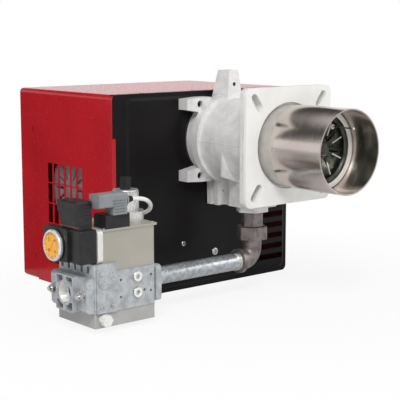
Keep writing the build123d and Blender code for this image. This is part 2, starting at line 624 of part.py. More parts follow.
def neck_ring():
    """Rear casting against the panel: ring, ridge, ear, lower lugs and four arms with bolt holes."""
    ring = along_y(0, 0, RIDGE_END, PANEL_Y, NECK_RADIUS) + along_y(0, 0, RIDGE_SPLIT, RIDGE_END,
                                                                   RIDGE_RADIUS)
    ring += top_ear(RIDGE_SPLIT, EAR_BACK)
    ring += block(-20, 20, RIDGE_SPLIT, PANEL_Y - 6, LUG_BOTTOM + 3, -70)
    for y0, y1 in ((RIDGE_SPLIT + 0.5, RIDGE_SPLIT + 12), (PANEL_Y - 15, PANEL_Y - 3)):
        ring += xz_prism([(-LUG_HALF, -66), (LUG_HALF, -66), (LUG_HALF - 2, LUG_BOTTOM),
                          (-LUG_HALF + 2, LUG_BOTTOM)], y0, y1)
    arm_y = PANEL_Y - 6 - ARM_RADIUS
    for sx in (-1, 1):
        for sz in (-1, 1):
            inner, outer = sorted((sx * (ARM_HOLE_X - 16), sx * ARM_END_X))
            stub = along_x(arm_y, sz * ARM_Z, inner, outer, ARM_RADIUS)
            stub = fillet(stub.edges().sort_by(Axis.X)[-1 if sx > 0 else 0], 4)
            ring += stub
            wide = [(sx * x, sz * (ARM_Z + z)) for x, z in ((36, -24), (72, -15), (98, -ARM_RADIUS),
                                                            (98, ARM_RADIUS), (60, 13), (36, 13))]
            ring += xz_prism(wide, arm_y - ARM_RADIUS, PANEL_Y)
    ring -= along_y(0, 0, RIDGE_SPLIT - 1, PANEL_Y + 1, BARREL_BORE)
    for sx in (-1, 1):
        for sz in (-1, 1):
            ring -= along_y(sx * (ARM_HOLE_X + 6), sz * ARM_Z, RIDGE_SPLIT, PANEL_Y + 1, 4.2)
            ring -= along_y(sx * (ARM_HOLE_X + 6), sz * ARM_Z, RIDGE_SPLIT, PANEL_Y - 14, 7.2)
    ring -= along_y(0, EAR_HOLE_Z, NUT_SEAT, EAR_BACK + 1, 10)
    return ring - along_y(0, EAR_HOLE_Z, RIDGE_SPLIT - 1, PANEL_Y, 4.2)


def arm_bolts():
    """Socket screws sunk in the arms."""
    bolts = []
    for sx in (-1, 1):
        for sz in (-1, 1):
            x, z = sx * (ARM_HOLE_X + 6), sz * ARM_Z
            bolt = along_y(x, z, PANEL_Y - 20, PANEL_Y - 14, 6.5) + along_y(x, z, PANEL_Y - 14, PANEL_Y, 4.0)
            bolts.append(bolt - hexagon_y(x, z, PANEL_Y - 21, PANEL_Y - 17, 6))
    return bolts


def ear_bolt():
    """Bolt that holds the two castings together through their ears, with its nut at the back."""
    return (along_y(0, EAR_HOLE_Z, EAR_FRONT + 5, NUT_SEAT, 4.0)
            + hexagon_y(0, EAR_HOLE_Z, NUT_SEAT, NUT_SEAT + 8, 15))


def gasket():
    """White boiler gasket in front of the flange's face."""
    half = FLANGE_SIZE / 2
    sheet = rounded_plate_y(-half, half, -half, half, -GASKET, 0, FLANGE_CORNER)
    sheet -= along_y(0, 0, -GASKET - 1, 1, HOLE_RADIUS)
    for cutter in flange_slots(-GASKET - 1, 1):
        sheet -= cutter
    return sheet


def tube_ring():
    """Pale steel ring that carries the flame tube."""
    return tube_y(RING_END, RING_SEAT, RING_RADIUS, RING_RADIUS - RING_WALL)


def flame_tube():
    """Thin stainless flame tube with its mouth rolled inwards."""
    tube = tube_y(TUBE_END, TUBE_START, TUBE_RADIUS, TUBE_RADIUS - TUBE_WALL)
    return tube + tube_y(TUBE_END, TUBE_END + 2.5, TUBE_RADIUS, TUBE_RADIUS - TUBE_WALL - 1.2)


TUBE_SCREW_Y = TUBE_START - 8
TUBE_SCREW_ANGLES = (8, 128, 248)


def tube_screws():
    """Small screws through the flame tube into the ring."""
    screw = along_x(TUBE_SCREW_Y, 0, -TUBE_RADIUS + 0.15, -TUBE_RADIUS + 4, 3.4)
    return [Rot(0, a, 0) * screw for a in TUBE_SCREW_ANGLES]


# ---------------------------------------------------------------- combustion head
ELECTRODES = ((-24.0, 32.0), (-6.0, 38.0))
IONISATION = (26.0, 40.0)


def brake_plate():
    """Slotted swirl disc with a deep outer rim."""
    plate = along_y(0, 0, PLATE_Y, PLATE_Y + PLATE_SHEET, PLATE_RADIUS - 1)
    plate += tube_y(PLATE_Y - 8, PLATE_Y + 8, PLATE_RADIUS, PLATE_RADIUS - 2)
    plate += tube_y(PLATE_Y - 8, PLATE_Y - 6.5, PLATE_RADIUS, PLATE_RADIUS - 9)
    for k in range(8):
        angle = k * 45 + 11
        slot = Pos(0, PLATE_Y, 0) * Rot(0, angle, 0) * block(22, 50, -3, 4, -1.8, 1.8)
        vane = Pos(36, PLATE_Y - 1.9, 4.6) * Rot(38, 0, 0) * Box(27, 1.2, 8)
        plate -= slot
        plate += Rot(0, angle, 0) * vane
    plate -= along_y(0, 0, PLATE_Y - 20, PLATE_Y + 9, LANCE_RADIUS)
    for x, z in (*ELECTRODES, IONISATION):
        plate -= along_y(x, z, PLATE_Y - 20, PLATE_Y + 9, 4.5)
    return plate


def gas_nozzle():
    """Round nozzle cap on the lance, with two rows of gas holes."""
    cap = along_y(0, 0, NOZZLE_FRONT, PLATE_Y + 8, LANCE_RADIUS)
    cap = fillet(cap.edges().sort_by(Axis.Y)[0], 3)
    cap -= along_y(0, 0, NOZZLE_FRONT + 2.5, PLATE_Y + 9, LANCE_RADIUS - 2.5)
    for k in range(8):
        cap -= Rot(0, k * 45, 0) * along_x(PLATE_Y - 6, 0, 5, LANCE_RADIUS + 5, 1.7)
    return cap


LANCE_END = 40.0


def gas_lance():
    """Sliding gas tube behind the nozzle."""
    return tube_y(PLATE_Y + 8, LANCE_END, LANCE_RADIUS, LANCE_BORE)


def feed_pipe():
    """Fixed inner pipe from the gas inlet up to the axis and forward into the lance."""
    radius = LANCE_BORE - 0.06
    bore = radius - 2
    foot = -62.0
    outer = along_z(0, GAS_AXIS_Y, foot, 0, radius) + Pos(0, GAS_AXIS_Y, 0) * Sphere(radius)
    outer += along_y(0, 0, LANCE_END - 40, GAS_AXIS_Y, radius)
    outer += along_z(0, GAS_AXIS_Y, GAS_BLOCK_BOTTOM + 40, foot, PIPE_RADIUS)
    inner = along_z(0, GAS_AXIS_Y, GAS_BLOCK_BOTTOM + 39, 0, bore) + Pos(0, GAS_AXIS_Y, 0) * Sphere(bore)
    inner += along_y(0, 0, LANCE_END - 41, GAS_AXIS_Y, bore)
    return outer - inner


def electrode_insulators():
    """Ceramic sleeves of the igniter electrodes and the ionisation rod."""
    pieces = []
    for x, z in (*ELECTRODES, IONISATION):
        sleeve_body = along_y(x, z, PLATE_Y - 8, PLATE_Y + 45, 4.5)
        pieces.append(sleeve_body - along_y(x, z, PLATE_Y - 9, PLATE_Y + 46, 1.3))
    return pieces


def electrode_rods():
    """Heat-proof wires: two that meet at the spark gap, and one that reaches into the flame."""
    rods = []
    for (x, z), bend in zip(ELECTRODES, (7.0, -6.0)):
        straight = Edge.make_line((x, PLATE_Y + 52, z), (x, PLATE_Y - 16, z))
        tip = Edge.make_line((x, PLATE_Y - 16, z), (x + bend, PLATE_Y - 24, z - 4))
        path = Wire([straight, tip])
        section = Plane(origin=(x, PLATE_Y + 52, z), z_dir=(0, -1, 0)) * Circle(1.3)
        rods.append(sweep(section, path=path, transition=Transition.ROUND))
    x, z = IONISATION
    rods.append(along_y(x, z, PLATE_Y - 58, PLATE_Y + 52, 1.3))
    return rods


HEAD_CLAMP_Y = PLATE_Y + 30


def electrode_clamp():
    """Pressed bracket that clamps the ceramics to the lance."""
    bar = block(-32, 34, HEAD_CLAMP_Y, HEAD_CLAMP_Y + 6, 10, 50)
    bar = fillet(bar.edges().filter_by(Axis.Y), 6)
    bar -= along_y(0, 0, HEAD_CLAMP_Y - 1, HEAD_CLAMP_Y + 7, LANCE_RADIUS)
    for x, z in (*ELECTRODES, IONISATION):
        bar -= along_y(x, z, HEAD_CLAMP_Y - 1, HEAD_CLAMP_Y + 7, 4.5)
    return bar


# ---------------------------------------------------------------- pipework
def hex_nipple():
    """Threaded nipple in the casting, with its hexagon and the union's cone."""
    nipple = along_z(0, GAS_AXIS_Y, UNION_TOP - 6, COLLAR_BOTTOM + 20, PIPE_RADIUS)
    nipple += hexagon_z(0, GAS_AXIS_Y, UNION_TOP + 4, COLLAR_BOTTOM - 3, NIPPLE_FLATS)
    nipple += along_z(0, GAS_AXIS_Y, UNION_TOP, UNION_TOP + 5, 17.8)
    nipple += along_z(0, GAS_AXIS_Y, UNION_TOP - 6, UNION_TOP, 21)
    return nipple - along_z(0, GAS_AXIS_Y, UNION_TOP - 7, COLLAR_BOTTOM + 21, PIPE_BORE)


def union_nut():
    """Large union nut that pulls the elbow's collar up to the nipple."""
    nut = hexagon_z(0, GAS_AXIS_Y, UNION_BOTTOM, UNION_TOP + 3, UNION_FLATS)
    nut -= along_z(0, GAS_AXIS_Y, UNION_BOTTOM - 1, UNION_TOP, 21.5)
    return nut - along_z(0, GAS_AXIS_Y, UNION_BOTTOM, UNION_TOP + 4, 18.1)


def elbow():
    """Malleable elbow: union collar on top, bend, and a socket for the pipe."""
    mouth = -ELBOW_BEND - ELBOW_SOCKET
    body = elbow_run(18.8, UNION_TOP - 12, mouth)
    body += along_z(0, GAS_AXIS_Y, UNION_BOTTOM + 3, UNION_TOP - 6, 21)
    body += along_x(GAS_AXIS_Y, PIPE_Z, mouth, mouth + 8, 24)
    body -= elbow_run(PIPE_BORE, UNION_TOP - 5, mouth - 1)
    return body - along_x(GAS_AXIS_Y, PIPE_Z, mouth - 1, -ELBOW_BEND - 1, PIPE_RADIUS)


def elbow_run(radius, top, mouth):
    """A round bar that comes down from the union and turns towards the pipe."""
    path = FilletPolyline((0, GAS_AXIS_Y, top), (0, GAS_AXIS_Y, PIPE_Z), (mouth, GAS_AXIS_Y, PIPE_Z),
                          radius=ELBOW_BEND)
    section = Plane(origin=(0, GAS_AXIS_Y, top), z_dir=(0, 0, -1)) * Circle(radius)
    return sweep(section, path=path)


def gas_pipe():
    """Galvanised pipe from the valve to the elbow."""
    x0, x1 = VALVE_RIGHT + 4, -ELBOW_BEND - 1
    return along_x(GAS_AXIS_Y, PIPE_Z, x0, x1, PIPE_RADIUS) - along_x(GAS_AXIS_Y, PIPE_Z, x0 - 1, x1 + 1,
                                                                    PIPE_BORE)


# ---------------------------------------------------------------- gas valve
VALVE_MID_Y = (VALVE_FRONT + VALVE_BACK) / 2
TAP_X = (-328.5, -328.5)
TAP_Z = (-213.0, -242.0)
SMALL_HOLES = ((-363.5, -215.0), (-363.5, -245.5), (-297.0, -214.0), (-297.0, -243.0), (-312.0, -240.0))
BODY_SCREWS = ((-407.0, -198.0), (-406.0, -257.0), (-383.0, -257.0), (-382.0, -209.0))


def valve_body():
    """Die-cast gas multiblock with bores, screw seats and test points on its front."""
    body = upright_block(VALVE_LEFT, VALVE_RIGHT, VALVE_FRONT, VALVE_BACK, VALVE_BOTTOM, VALVE_TOP, 4)
    body += upright_block(VALVE_LEFT, VALVE_LEFT_END, VALVE_FRONT, VALVE_BACK, VALVE_TOP - 20, VALVE_LEFT_TOP, 4)
    body += block(VALVE_LEFT + 3, VALVE_LEFT_END, VALVE_FRONT - 3, VALVE_FRONT + 6, VALVE_BOTTOM,
                  VALVE_LEFT_TOP)
    body += along_y(-402, -213, VALVE_FRONT - 5.5, VALVE_FRONT, 11.5)
    body -= block(VALVE_LEFT + 12, VALVE_RIGHT - 10, VALVE_FRONT + 10, VALVE_BACK - 10,
                  VALVE_BOTTOM + 10, VALVE_TOP - 8)
    body -= along_x(VALVE_MID_Y, PIPE_Z, VALVE_LEFT - 1, VALVE_LEFT + 14, INLET_BORE - 2)
    body -= along_x(VALVE_MID_Y, PIPE_Z, VALVE_RIGHT - 12, VALVE_RIGHT + 1, PIPE_BORE)
    for k in range(5):
        y = VALVE_FRONT + 15 + k * 20
        body -= block(VALVE_LEFT - 1, VALVE_LEFT + 7, y, y + 7, VALVE_LEFT_TOP - 17, VALVE_LEFT_TOP - 5)
    for x, z in SMALL_HOLES:
        body -= along_y(x, z, VALVE_FRONT - 5, VALVE_FRONT + 6, 2.6)
    for x, z in zip(TAP_X, TAP_Z):
        body -= along_y(x, z, VALVE_FRONT - 1, VALVE_FRONT + 4, 9.2)
    for x, z in BODY_SCREWS:
        body -= along_y(x, z, VALVE_FRONT - 4, VALVE_FRONT + 2, 3.8)
    return body


def lower_cover():
    """Pressed tray under the valve, over its filter."""
    inset = 2.0
    tray = upright_block(VALVE_LEFT + inset, VALVE_RIGHT, VALVE_FRONT + inset, VALVE_BACK + 5,
                         LOWER_COVER_BOTTOM, VALVE_BOTTOM, 2.5)
    hollow = upright_block(VALVE_LEFT + inset * 2, VALVE_RIGHT - inset, VALVE_FRONT + inset * 2,
                           VALVE_BACK - inset, LOWER_COVER_BOTTOM + inset, VALVE_BOTTOM + 1, 2)
    return tray - hollow


def coil_box():
    """Grey solenoid housing on top of the valve."""
    box = upright_block(COIL_LEFT, VALVE_RIGHT, VALVE_FRONT + 3, VALVE_BACK - 3, VALVE_LEFT_TOP, COIL_TOP, 2)
    box += block(VALVE_LEFT_END, VALVE_RIGHT - 1, VALVE_FRONT + 3, VALVE_BACK - 3, VALVE_TOP, VALVE_LEFT_TOP + 1)
    return box - block(COIL_LEFT + 3, VALVE_RIGHT - 3, VALVE_FRONT + 6, VALVE_BACK - 6, VALVE_LEFT_TOP + 3,
                       COIL_TOP - 3)


def coil_lid():
    """Lid plate of the solenoid housing, a little wider to the right."""
    return upright_block(COIL_LEFT, VALVE_RIGHT + 6, VALVE_FRONT + 1, VALVE_BACK - 1, COIL_TOP,
                         COIL_TOP + LID, 3)


def inlet_flange():
    """Gas inlet flange with a threaded bore, corner pockets and two bolted ears."""
    x0 = VALVE_LEFT - INLET_REACH
    z0, z1 = PIPE_Z - INLET_HALF_Z, PIPE_Z + INLET_HALF_Z
    body = block(x0, VALVE_LEFT, VALVE_MID_Y - INLET_HALF_Y, VALVE_MID_Y + INLET_HALF_Y, z0, z1)
    body = fillet(body.edges().filter_by(Axis.X), 3)
    ears = block(VALVE_LEFT - 16, VALVE_LEFT, VALVE_FRONT + 1, VALVE_BACK - 1, z0 + 1, z1 - 1)
    body += chamfer(ears.faces().sort_by(Axis.X)[0].edges().filter_by(Axis.Y), 5)
    for sy in (-1, 1):
        for sz in (-1, 1):
            y, z = VALVE_MID_Y + sy * 14.5, PIPE_Z + sz * 22
            pocket = block(x0 - 1, x0 + 12, y - 9.5, y + 9.5, z - 7.5, z + 7.5)
            body -= pocket - along_x(VALVE_MID_Y, PIPE_Z, x0 - 2, x0 + 20, INLET_BORE + 3)
    body -= along_x(VALVE_MID_Y, PIPE_Z, x0 - 1, VALVE_LEFT + 1, INLET_BORE)
    for y in stud_rows():
        body -= along_x(y, PIPE_Z, VALVE_LEFT - 17, VALVE_LEFT + 1, 4.2)
    return body


def stud_rows():
    """Y of the two studs that hold each valve flange."""
    return VALVE_FRONT + 13, VALVE_BACK - 13


def inlet_nuts():
    """Studs, washers and nuts of the inlet flange."""
    pieces = []
    for y in stud_rows():
        x = VALVE_LEFT - 16
        piece = along_x(y, PIPE_Z, x - 14, VALVE_LEFT, 4.0)
        piece += hexagon_x(y, PIPE_Z, x - 9, x - 2, 14)
        piece += along_x(y, PIPE_Z, x - 2, x, 9.5)
        pieces.append(piece)
    return pieces


def outlet_flange():
    """Plate between the valve and the pipe, with a pipe collar."""
    x0, x1 = VALVE_RIGHT, VALVE_RIGHT + OUTLET_PLATE
    plate = block(x0, x1, VALVE_FRONT - 2, VALVE_BACK + 2, PIPE_Z - 30, PIPE_Z + 36)
    plate = fillet(plate.edges().filter_by(Axis.X), 8)
    plate += along_x(GAS_AXIS_Y, PIPE_Z, x1 - 1, x1 + 8, PIPE_RADIUS + 6)
    plate -= along_x(GAS_AXIS_Y, PIPE_Z, x0 + 4, x1 + 9, PIPE_RADIUS)
    plate -= along_x(GAS_AXIS_Y, PIPE_Z, x0 - 1, x1 + 9, PIPE_BORE)
    return plate


def outlet_nuts():
    """Nuts and stud ends on the outlet flange."""
    x = VALVE_RIGHT + OUTLET_PLATE
    return [hexagon_x(y, PIPE_Z, x, x + 7, 14) + along_x(y, PIPE_Z, x + 7, x + 11, 4) for y in stud_rows()]


def test_nipples():
    """Two round pressure test points with centre screws."""
    pieces = []
    for x, z in zip(TAP_X, TAP_Z):
        tap = along_y(x, z, VALVE_FRONT - 3, VALVE_FRONT + 4, 9.2)
        tap = fillet(tap.edges().sort_by(Axis.Y)[0], 1.5)
        pieces.append(tap - hexagon_y(x, z, VALVE_FRONT - 4, VALVE_FRONT - 0.5, 5.5))
    return pieces


def body_screws():
    """Cheese-head screws on the valve's front."""
    pieces = []
    for x, z in BODY_SCREWS:
        front = VALVE_FRONT - 3
        screw = along_y(x, z, front - 2, VALVE_FRONT + 2, 3.8)
        pieces.append(screw - hexagon_y(x, z, front - 3, front - 0.5, 3))
    return pieces


VENT_X = -403.0
VENT_Z = -279.0


def vent_cap():
    """White plastic vent cap low on the front."""
    return hexagon_y(VENT_X, VENT_Z, VALVE_FRONT - 16, VALVE_FRONT - 5, 19) + along_y(
        VENT_X, VENT_Z, VALVE_FRONT - 6, VALVE_FRONT + 2, 7)


def gas_pressure_switch():
    """Black pressure switch that sits on the valve and reaches over the inlet."""
    box = block(SWITCH_LEFT, SWITCH_RIGHT, VALVE_FRONT + 2, VALVE_FRONT + 2 + SWITCH_DEPTH, SWITCH_BOTTOM,
                SWITCH_TOP)
    box = fillet(box.edges().filter_by(Axis.Z), 4)
    box = fillet(box.faces().sort_by(Axis.Z)[-1].edges(), 2.5)
    housing = block(SWITCH_LEFT - 6, SWITCH_LEFT + 10, VALVE_FRONT + 34, VALVE_BACK - 6, SWITCH_BOTTOM, SWITCH_TOP)
    housing = fillet(housing.edges().filter_by(Axis.X), 6)
    seat = block(VALVE_LEFT + 2, SWITCH_RIGHT, VALVE_FRONT + 6, VALVE_FRONT + 60, VALVE_LEFT_TOP, SWITCH_BOTTOM + 2)
    neck = upright_block(SWITCH_LEFT + 3, SWITCH_RIGHT - 4, VALVE_FRONT + 10, VALVE_FRONT + 66, SWITCH_TOP - 1,
                         SWITCH_TOP + 6, 4)
    body = box + housing + seat + neck + along_x(DIAL_Y, DIAL_Z, SWITCH_LEFT - 8, SWITCH_LEFT + 6, DIAL_RADIUS + 2)
    return body - along_x(DIAL_Y, DIAL_Z, SWITCH_LEFT - 9, SWITCH_LEFT - 2, DIAL_RADIUS - 4.6)


def switch_plate():
    """Pale adapter plate between the pressure switch and the coils."""
    return rounded_x(SWITCH_RIGHT, COIL_LEFT, VALVE_FRONT + 1, VALVE_BACK - 5, VALVE_LEFT_TOP, SWITCH_TOP - 2, 8)


def rounded_x(x0, x1, y0, y1, z0, z1, corner):
    """A plate across X with rounded corners."""
    plate = block(x0, x1, y0, y1, z0, z1)
    return fillet(plate.edges().filter_by(Axis.X), corner)


def dial_ring():
    """Bright bezel round the switch's dial."""
    x0 = SWITCH_LEFT - 14
    ring = along_x(DIAL_Y, DIAL_Z, x0, SWITCH_LEFT - 8, DIAL_RADIUS)
    ring = fillet(ring.edges().sort_by(Axis.X)[0], 3)
    return ring - along_x(DIAL_Y, DIAL_Z, x0 - 1, SWITCH_LEFT, DIAL_RADIUS - 5)


def setting_dial():
    """Orange scale disc that sets the switching pressure."""
    x0 = SWITCH_LEFT - 12
    disc = along_x(DIAL_Y, DIAL_Z, x0, SWITCH_LEFT - 3, DIAL_RADIUS - 5.4)
    bar = Pos(x0, DIAL_Y, DIAL_Z) * Rot(30, 0, 0) * Box(3, 2.4, 26)
    return disc - bar


def switch_plug():
    """Black plug on the pressure switch, with ribbed sides and a chin at the back for its lead."""
    x0, x1 = SWITCH_LEFT - 1, SWITCH_LEFT + 33
    y0, y1 = VALVE_FRONT + 12, VALVE_FRONT + 62
    z0, z1 = SWITCH_TOP + 6, SWITCH_TOP + 49
    plug = upright_block(x0, x1, y0, y1, z0, z1, 4)
    plug = chamfer(plug.faces().sort_by(Axis.Z)[-1].edges(), 3)
    for k in range(5):
        z = z0 + 12 + k * 6
        plug -= block(x0 + 20, x1 + 1, y0 - 1, y0 + 1, z, z + 2)
    return plug + upright_block(SWITCH_GLAND_X - 8, SWITCH_GLAND_X + 8, y1 - 6, SWITCH_GLAND_Y + 9,
                                SWITCH_GLAND_Z + GLAND_NUT, z1 - 4, 3)


GLAND_NUT = 7.0
SWITCH_GLAND_X = SWITCH_LEFT + 17
SWITCH_GLAND_Y = VALVE_FRONT + 79
SWITCH_GLAND_Z = SWITCH_TOP + 19


def switch_gland():
    """Cap nut where the switch's lead leaves the black plug downwards."""
    gland = along_z(SWITCH_GLAND_X, SWITCH_GLAND_Y, SWITCH_GLAND_Z, SWITCH_GLAND_Z + GLAND_NUT, 7.5)
    return fillet(gland.edges().sort_by(Axis.Z)[0], 2)


SOCKET_TOP = COIL_TOP + LID + 24
DIN_TOP = SOCKET_TOP + 38
DIN_LEFT = -412.0
DIN_RIGHT = -353.0
DIN_FRONT = VALVE_FRONT - 6
DIN_BACK = DIN_FRONT + 30
DIN_GLAND = 9.0
DIN_GLAND_Y = (DIN_FRONT + DIN_BACK) / 2
DIN_GLAND_Z = DIN_TOP - 15


def coil_socket():
    """Black socket under the grey plug."""
    return upright_block(-393, -341, VALVE_FRONT + 1, VALVE_FRONT + 40, COIL_TOP + LID, SOCKET_TOP, 3)


def din_plug():
    """Grey ribbed plug of the solenoid valves."""
    low = upright_block(-380, -350, DIN_FRONT + 2, DIN_BACK, SOCKET_TOP, SOCKET_TOP + 16, 3)
    top = block(DIN_LEFT, DIN_RIGHT, DIN_FRONT, DIN_BACK, SOCKET_TOP + 14, DIN_TOP)
    top = fillet(top.edges().filter_by(Axis.X), 4)
    plug = low + top
    for k in range(5):
        z = SOCKET_TOP + 4 + k * 5
        plug -= block(-383, -356, DIN_FRONT - 1, DIN_FRONT + (3.2 if z < SOCKET_TOP + 13 else 1.2), z, z + 1.8)
    return plug


def din_gland():
    """Grey gland nut with a black grommet seat."""
    gland = along_x(DIN_GLAND_Y, DIN_GLAND_Z, DIN_RIGHT, DIN_RIGHT + DIN_GLAND, 11.5)
    return fillet(gland.edges().sort_by(Axis.X)[-1], 3)


ADJUSTER = (-305.0, 104.0)
ADJUSTER_FOOT = COIL_TOP + LID
ADJUSTER_TOP = ADJUSTER_FOOT + 55.0


def flow_adjuster():
    """Aluminium brake cylinder of the slow-opening valve, on its collar."""
    x, y = ADJUSTER
    body = along_z(x, y, ADJUSTER_FOOT, ADJUSTER_FOOT + 17, 33)
    body += along_z(x, y, ADJUSTER_FOOT + 17, ADJUSTER_TOP, 23.5)
    body = fillet(body.edges().filter_by(GeomType.CIRCLE).sort_by(Axis.Z)[-1], 1.5)
    for k in range(4):
        z = ADJUSTER_TOP - 6 - k * 4.5
        body -= along_z(x, y, z, z + 1.5, 30) - along_z(x, y, z - 1, z + 3, 22.3)
    return body - along_z(x, y, ADJUSTER_TOP - 12, ADJUSTER_TOP + 1, 7.06)


def adjuster_cap():
    """Black knob on the brake cylinder: turning it sets the opening speed."""
    x, y = ADJUSTER
    top = ADJUSTER_TOP
    knob = along_z(x, y, top + 0.4, top + 22, 10)
    for k in range(12):
        knob -= Pos(x, y, 0) * Rot(0, 0, k * 30) * Pos(10.5, 0, 0) * along_z(0, 0, top + 4, top + 23, 1.2)
    return knob + along_z(x, y, top - 11, top + 1, 7)


# ---------------------------------------------------------------- leads
GROMMET_X = CASE_LEFT + 56.0
GROMMETS = ((GROMMET_X, -196.0), (GROMMET_X, -227.0))

LEAD_IN_Y = PANEL_Y - 4
VALVE_LEAD = [
    (DIN_RIGHT + DIN_GLAND, DIN_GLAND_Y, DIN_GLAND_Z), (-325, DIN_GLAND_Y, DIN_GLAND_Z), (-300, 50, -79),
    (-283, 58, -90), (-271, 74, -102), (-264, 95, -112), (-262, 120, -120), (-264, 143, -133),
    (-263, 157, -154), (-257, 164, -175), (-246, 167, -190), (GROMMET_X - 19.5, LEAD_IN_Y - 33.8, -196),
    (GROMMET_X - 7.1, LEAD_IN_Y - 26.7, -196), (GROMMET_X, LEAD_IN_Y - 14.3, -196),
    (GROMMET_X, LEAD_IN_Y, -196),
]
SWITCH_LEAD = [
    (SWITCH_GLAND_X, SWITCH_GLAND_Y, SWITCH_GLAND_Z), (SWITCH_GLAND_X, SWITCH_GLAND_Y, -122),
    (-427, 128, -143), (-421, 144, -158), (-408, 157, -168), (-385, 163, -178), (-355, 165, -189),
    (-320, 166, -201), (-285, 167, -211), (-250, 167, -221),
    (GROMMET_X - 19.5, LEAD_IN_Y - 33.8, -227), (GROMMET_X - 7.1, LEAD_IN_Y - 26.7, -227),
    (GROMMET_X, LEAD_IN_Y - 14.3, -227), (GROMMET_X, LEAD_IN_Y, -227),
]


def grommets():
    """Rubber grommets where the leads enter the panel."""
    rings = []
    for x, z in GROMMETS:
        ring = along_y(x, z, PANEL_Y - 4, PANEL_Y, 7)
        rings.append(fillet(ring.edges().sort_by(Axis.Y)[0], 1.5))
    return rings


def turn_at(a, b, c):
    """Radius of the arc at b that takes 0.45 of the shorter run beside it."""
    u, v = Vector(*b) - Vector(*a), Vector(*c) - Vector(*b)
    angle = radians(u.get_angle(v))
    return 0.45 * min(u.length, v.length) / (sin(angle / 2) / cos(angle / 2)), angle * 180 / pi


def lead(points, label):
    """A round lead: straight runs joined by tangent arcs."""
    radii = [turn_at(*points[k:k + 3]) for k in range(len(points) - 2)]
    path = FilletPolyline(*points, radius=[r for r, _ in radii])
    start, ahead = Vector(*points[0]), Vector(*points[1])
    section = Plane(origin=start, z_dir=(ahead - start)) * Circle(CABLE_RADIUS)
    tube = sweep(section, path=path)
    print(label, "length", round(path.length, 1), "volume ratio",
          round(tube.volume / (pi * CABLE_RADIUS ** 2 * path.length), 4),
          "radii", [round(r) for r, _ in radii], "turns", [round(a) for _, a in radii])
    return tube


# ---------------------------------------------------------------- all sub-parts
node("front_panel", front_panel())
node("side_sleeve", sleeve())
node("rear_cover", rear_cover())
node("cover_screws", *cover_screws())
node("base_plate", base_plate())
node("panel_screws", *panel_screws())
node("fan_housing", fan_housing())
node("fan_wheel", fan_wheel())
node("motor_shaft", motor_shaft())
node("motor_housing", motor_housing())
node("motor_end_cap", motor_end_cap())
node("inlet_ring", inlet_ring())
node("air_duct", air_duct())
node("damper_blade", damper_blade())
node("damper_shaft", damper_shaft())
node("damper_servo", damper_servo())
node("control_box", control_box())
node("reset_button", reset_button())
node("ignition_transformer", ignition_transformer())
node("air_pressure_switch", air_pressure_switch())
node("head_casting", head_casting())
node("neck_ring", neck_ring())
node("casting_bolts", *arm_bolts(), ear_bolt())
node("boiler_gasket", gasket())
node("tube_ring", tube_ring())
node("flame_tube", flame_tube())
node("tube_screws", *tube_screws())
node("brake_plate", brake_plate())
node("gas_nozzle", gas_nozzle())
node("gas_lance", gas_lance())
node("feed_pipe", feed_pipe())
node("electrode_insulators", *electrode_insulators())
node("electrode_rods", *electrode_rods())
node("electrode_clamp", electrode_clamp())
node("hex_nipple", hex_nipple())
node("union_nut", union_nut())
node("pipe_elbow", elbow())
node("gas_pipe", gas_pipe())
node("valve_body", valve_body())
node("valve_lower_cover", lower_cover())
node("coil_box", coil_box())
node("coil_lid", coil_lid())
node("inlet_flange", inlet_flange())
node("outlet_flange", outlet_flange())
node("flange_nuts", *inlet_nuts(), *outlet_nuts())
node("test_points", *test_nipples())
node("valve_screws", *body_screws())
node("vent_cap", vent_cap())
node("gas_pressure_switch", gas_pressure_switch())
node("switch_plate", switch_plate())
node("dial_bezel", dial_ring())
node("setting_dial", setting_dial())
node("switch_plug", switch_plug(), switch_gland())
node("coil_socket", coil_socket())
node("coil_plug", din_plug(), din_gland())
node("flow_adjuster", flow_adjuster())
node("adjuster_knob", adjuster_cap())
node("lead_grommets", *grommets())
node("valve_lead", lead(VALVE_LEAD, "valve lead"))
node("switch_lead", lead(SWITCH_LEAD, "switch lead"))

os.makedirs("parts", exist_ok=True)
for name, shape in NODES.items():
    export_step(shape, f"parts/{name}.step")
print(len(NODES), "nodes")
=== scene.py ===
# %% [markdown]
# A forced-draught gas burner hangs on a boiler door: a red cabinet holds the fan, a cast head carries the
# flame tube, and a gas valve feeds it from the side. The solids and their places come from the CAD frame,
# so nothing is fitted by eye. What is left is what a modeller does last: the finish of every surface, the
# leads, and the small trim that no solid carries. The frame is loaded first, because each later step reads
# its boxes.

# %% Load the frame
import json
from math import cos, pi, radians, sin, tau
import bpy
from mathutils import Matrix, Vector


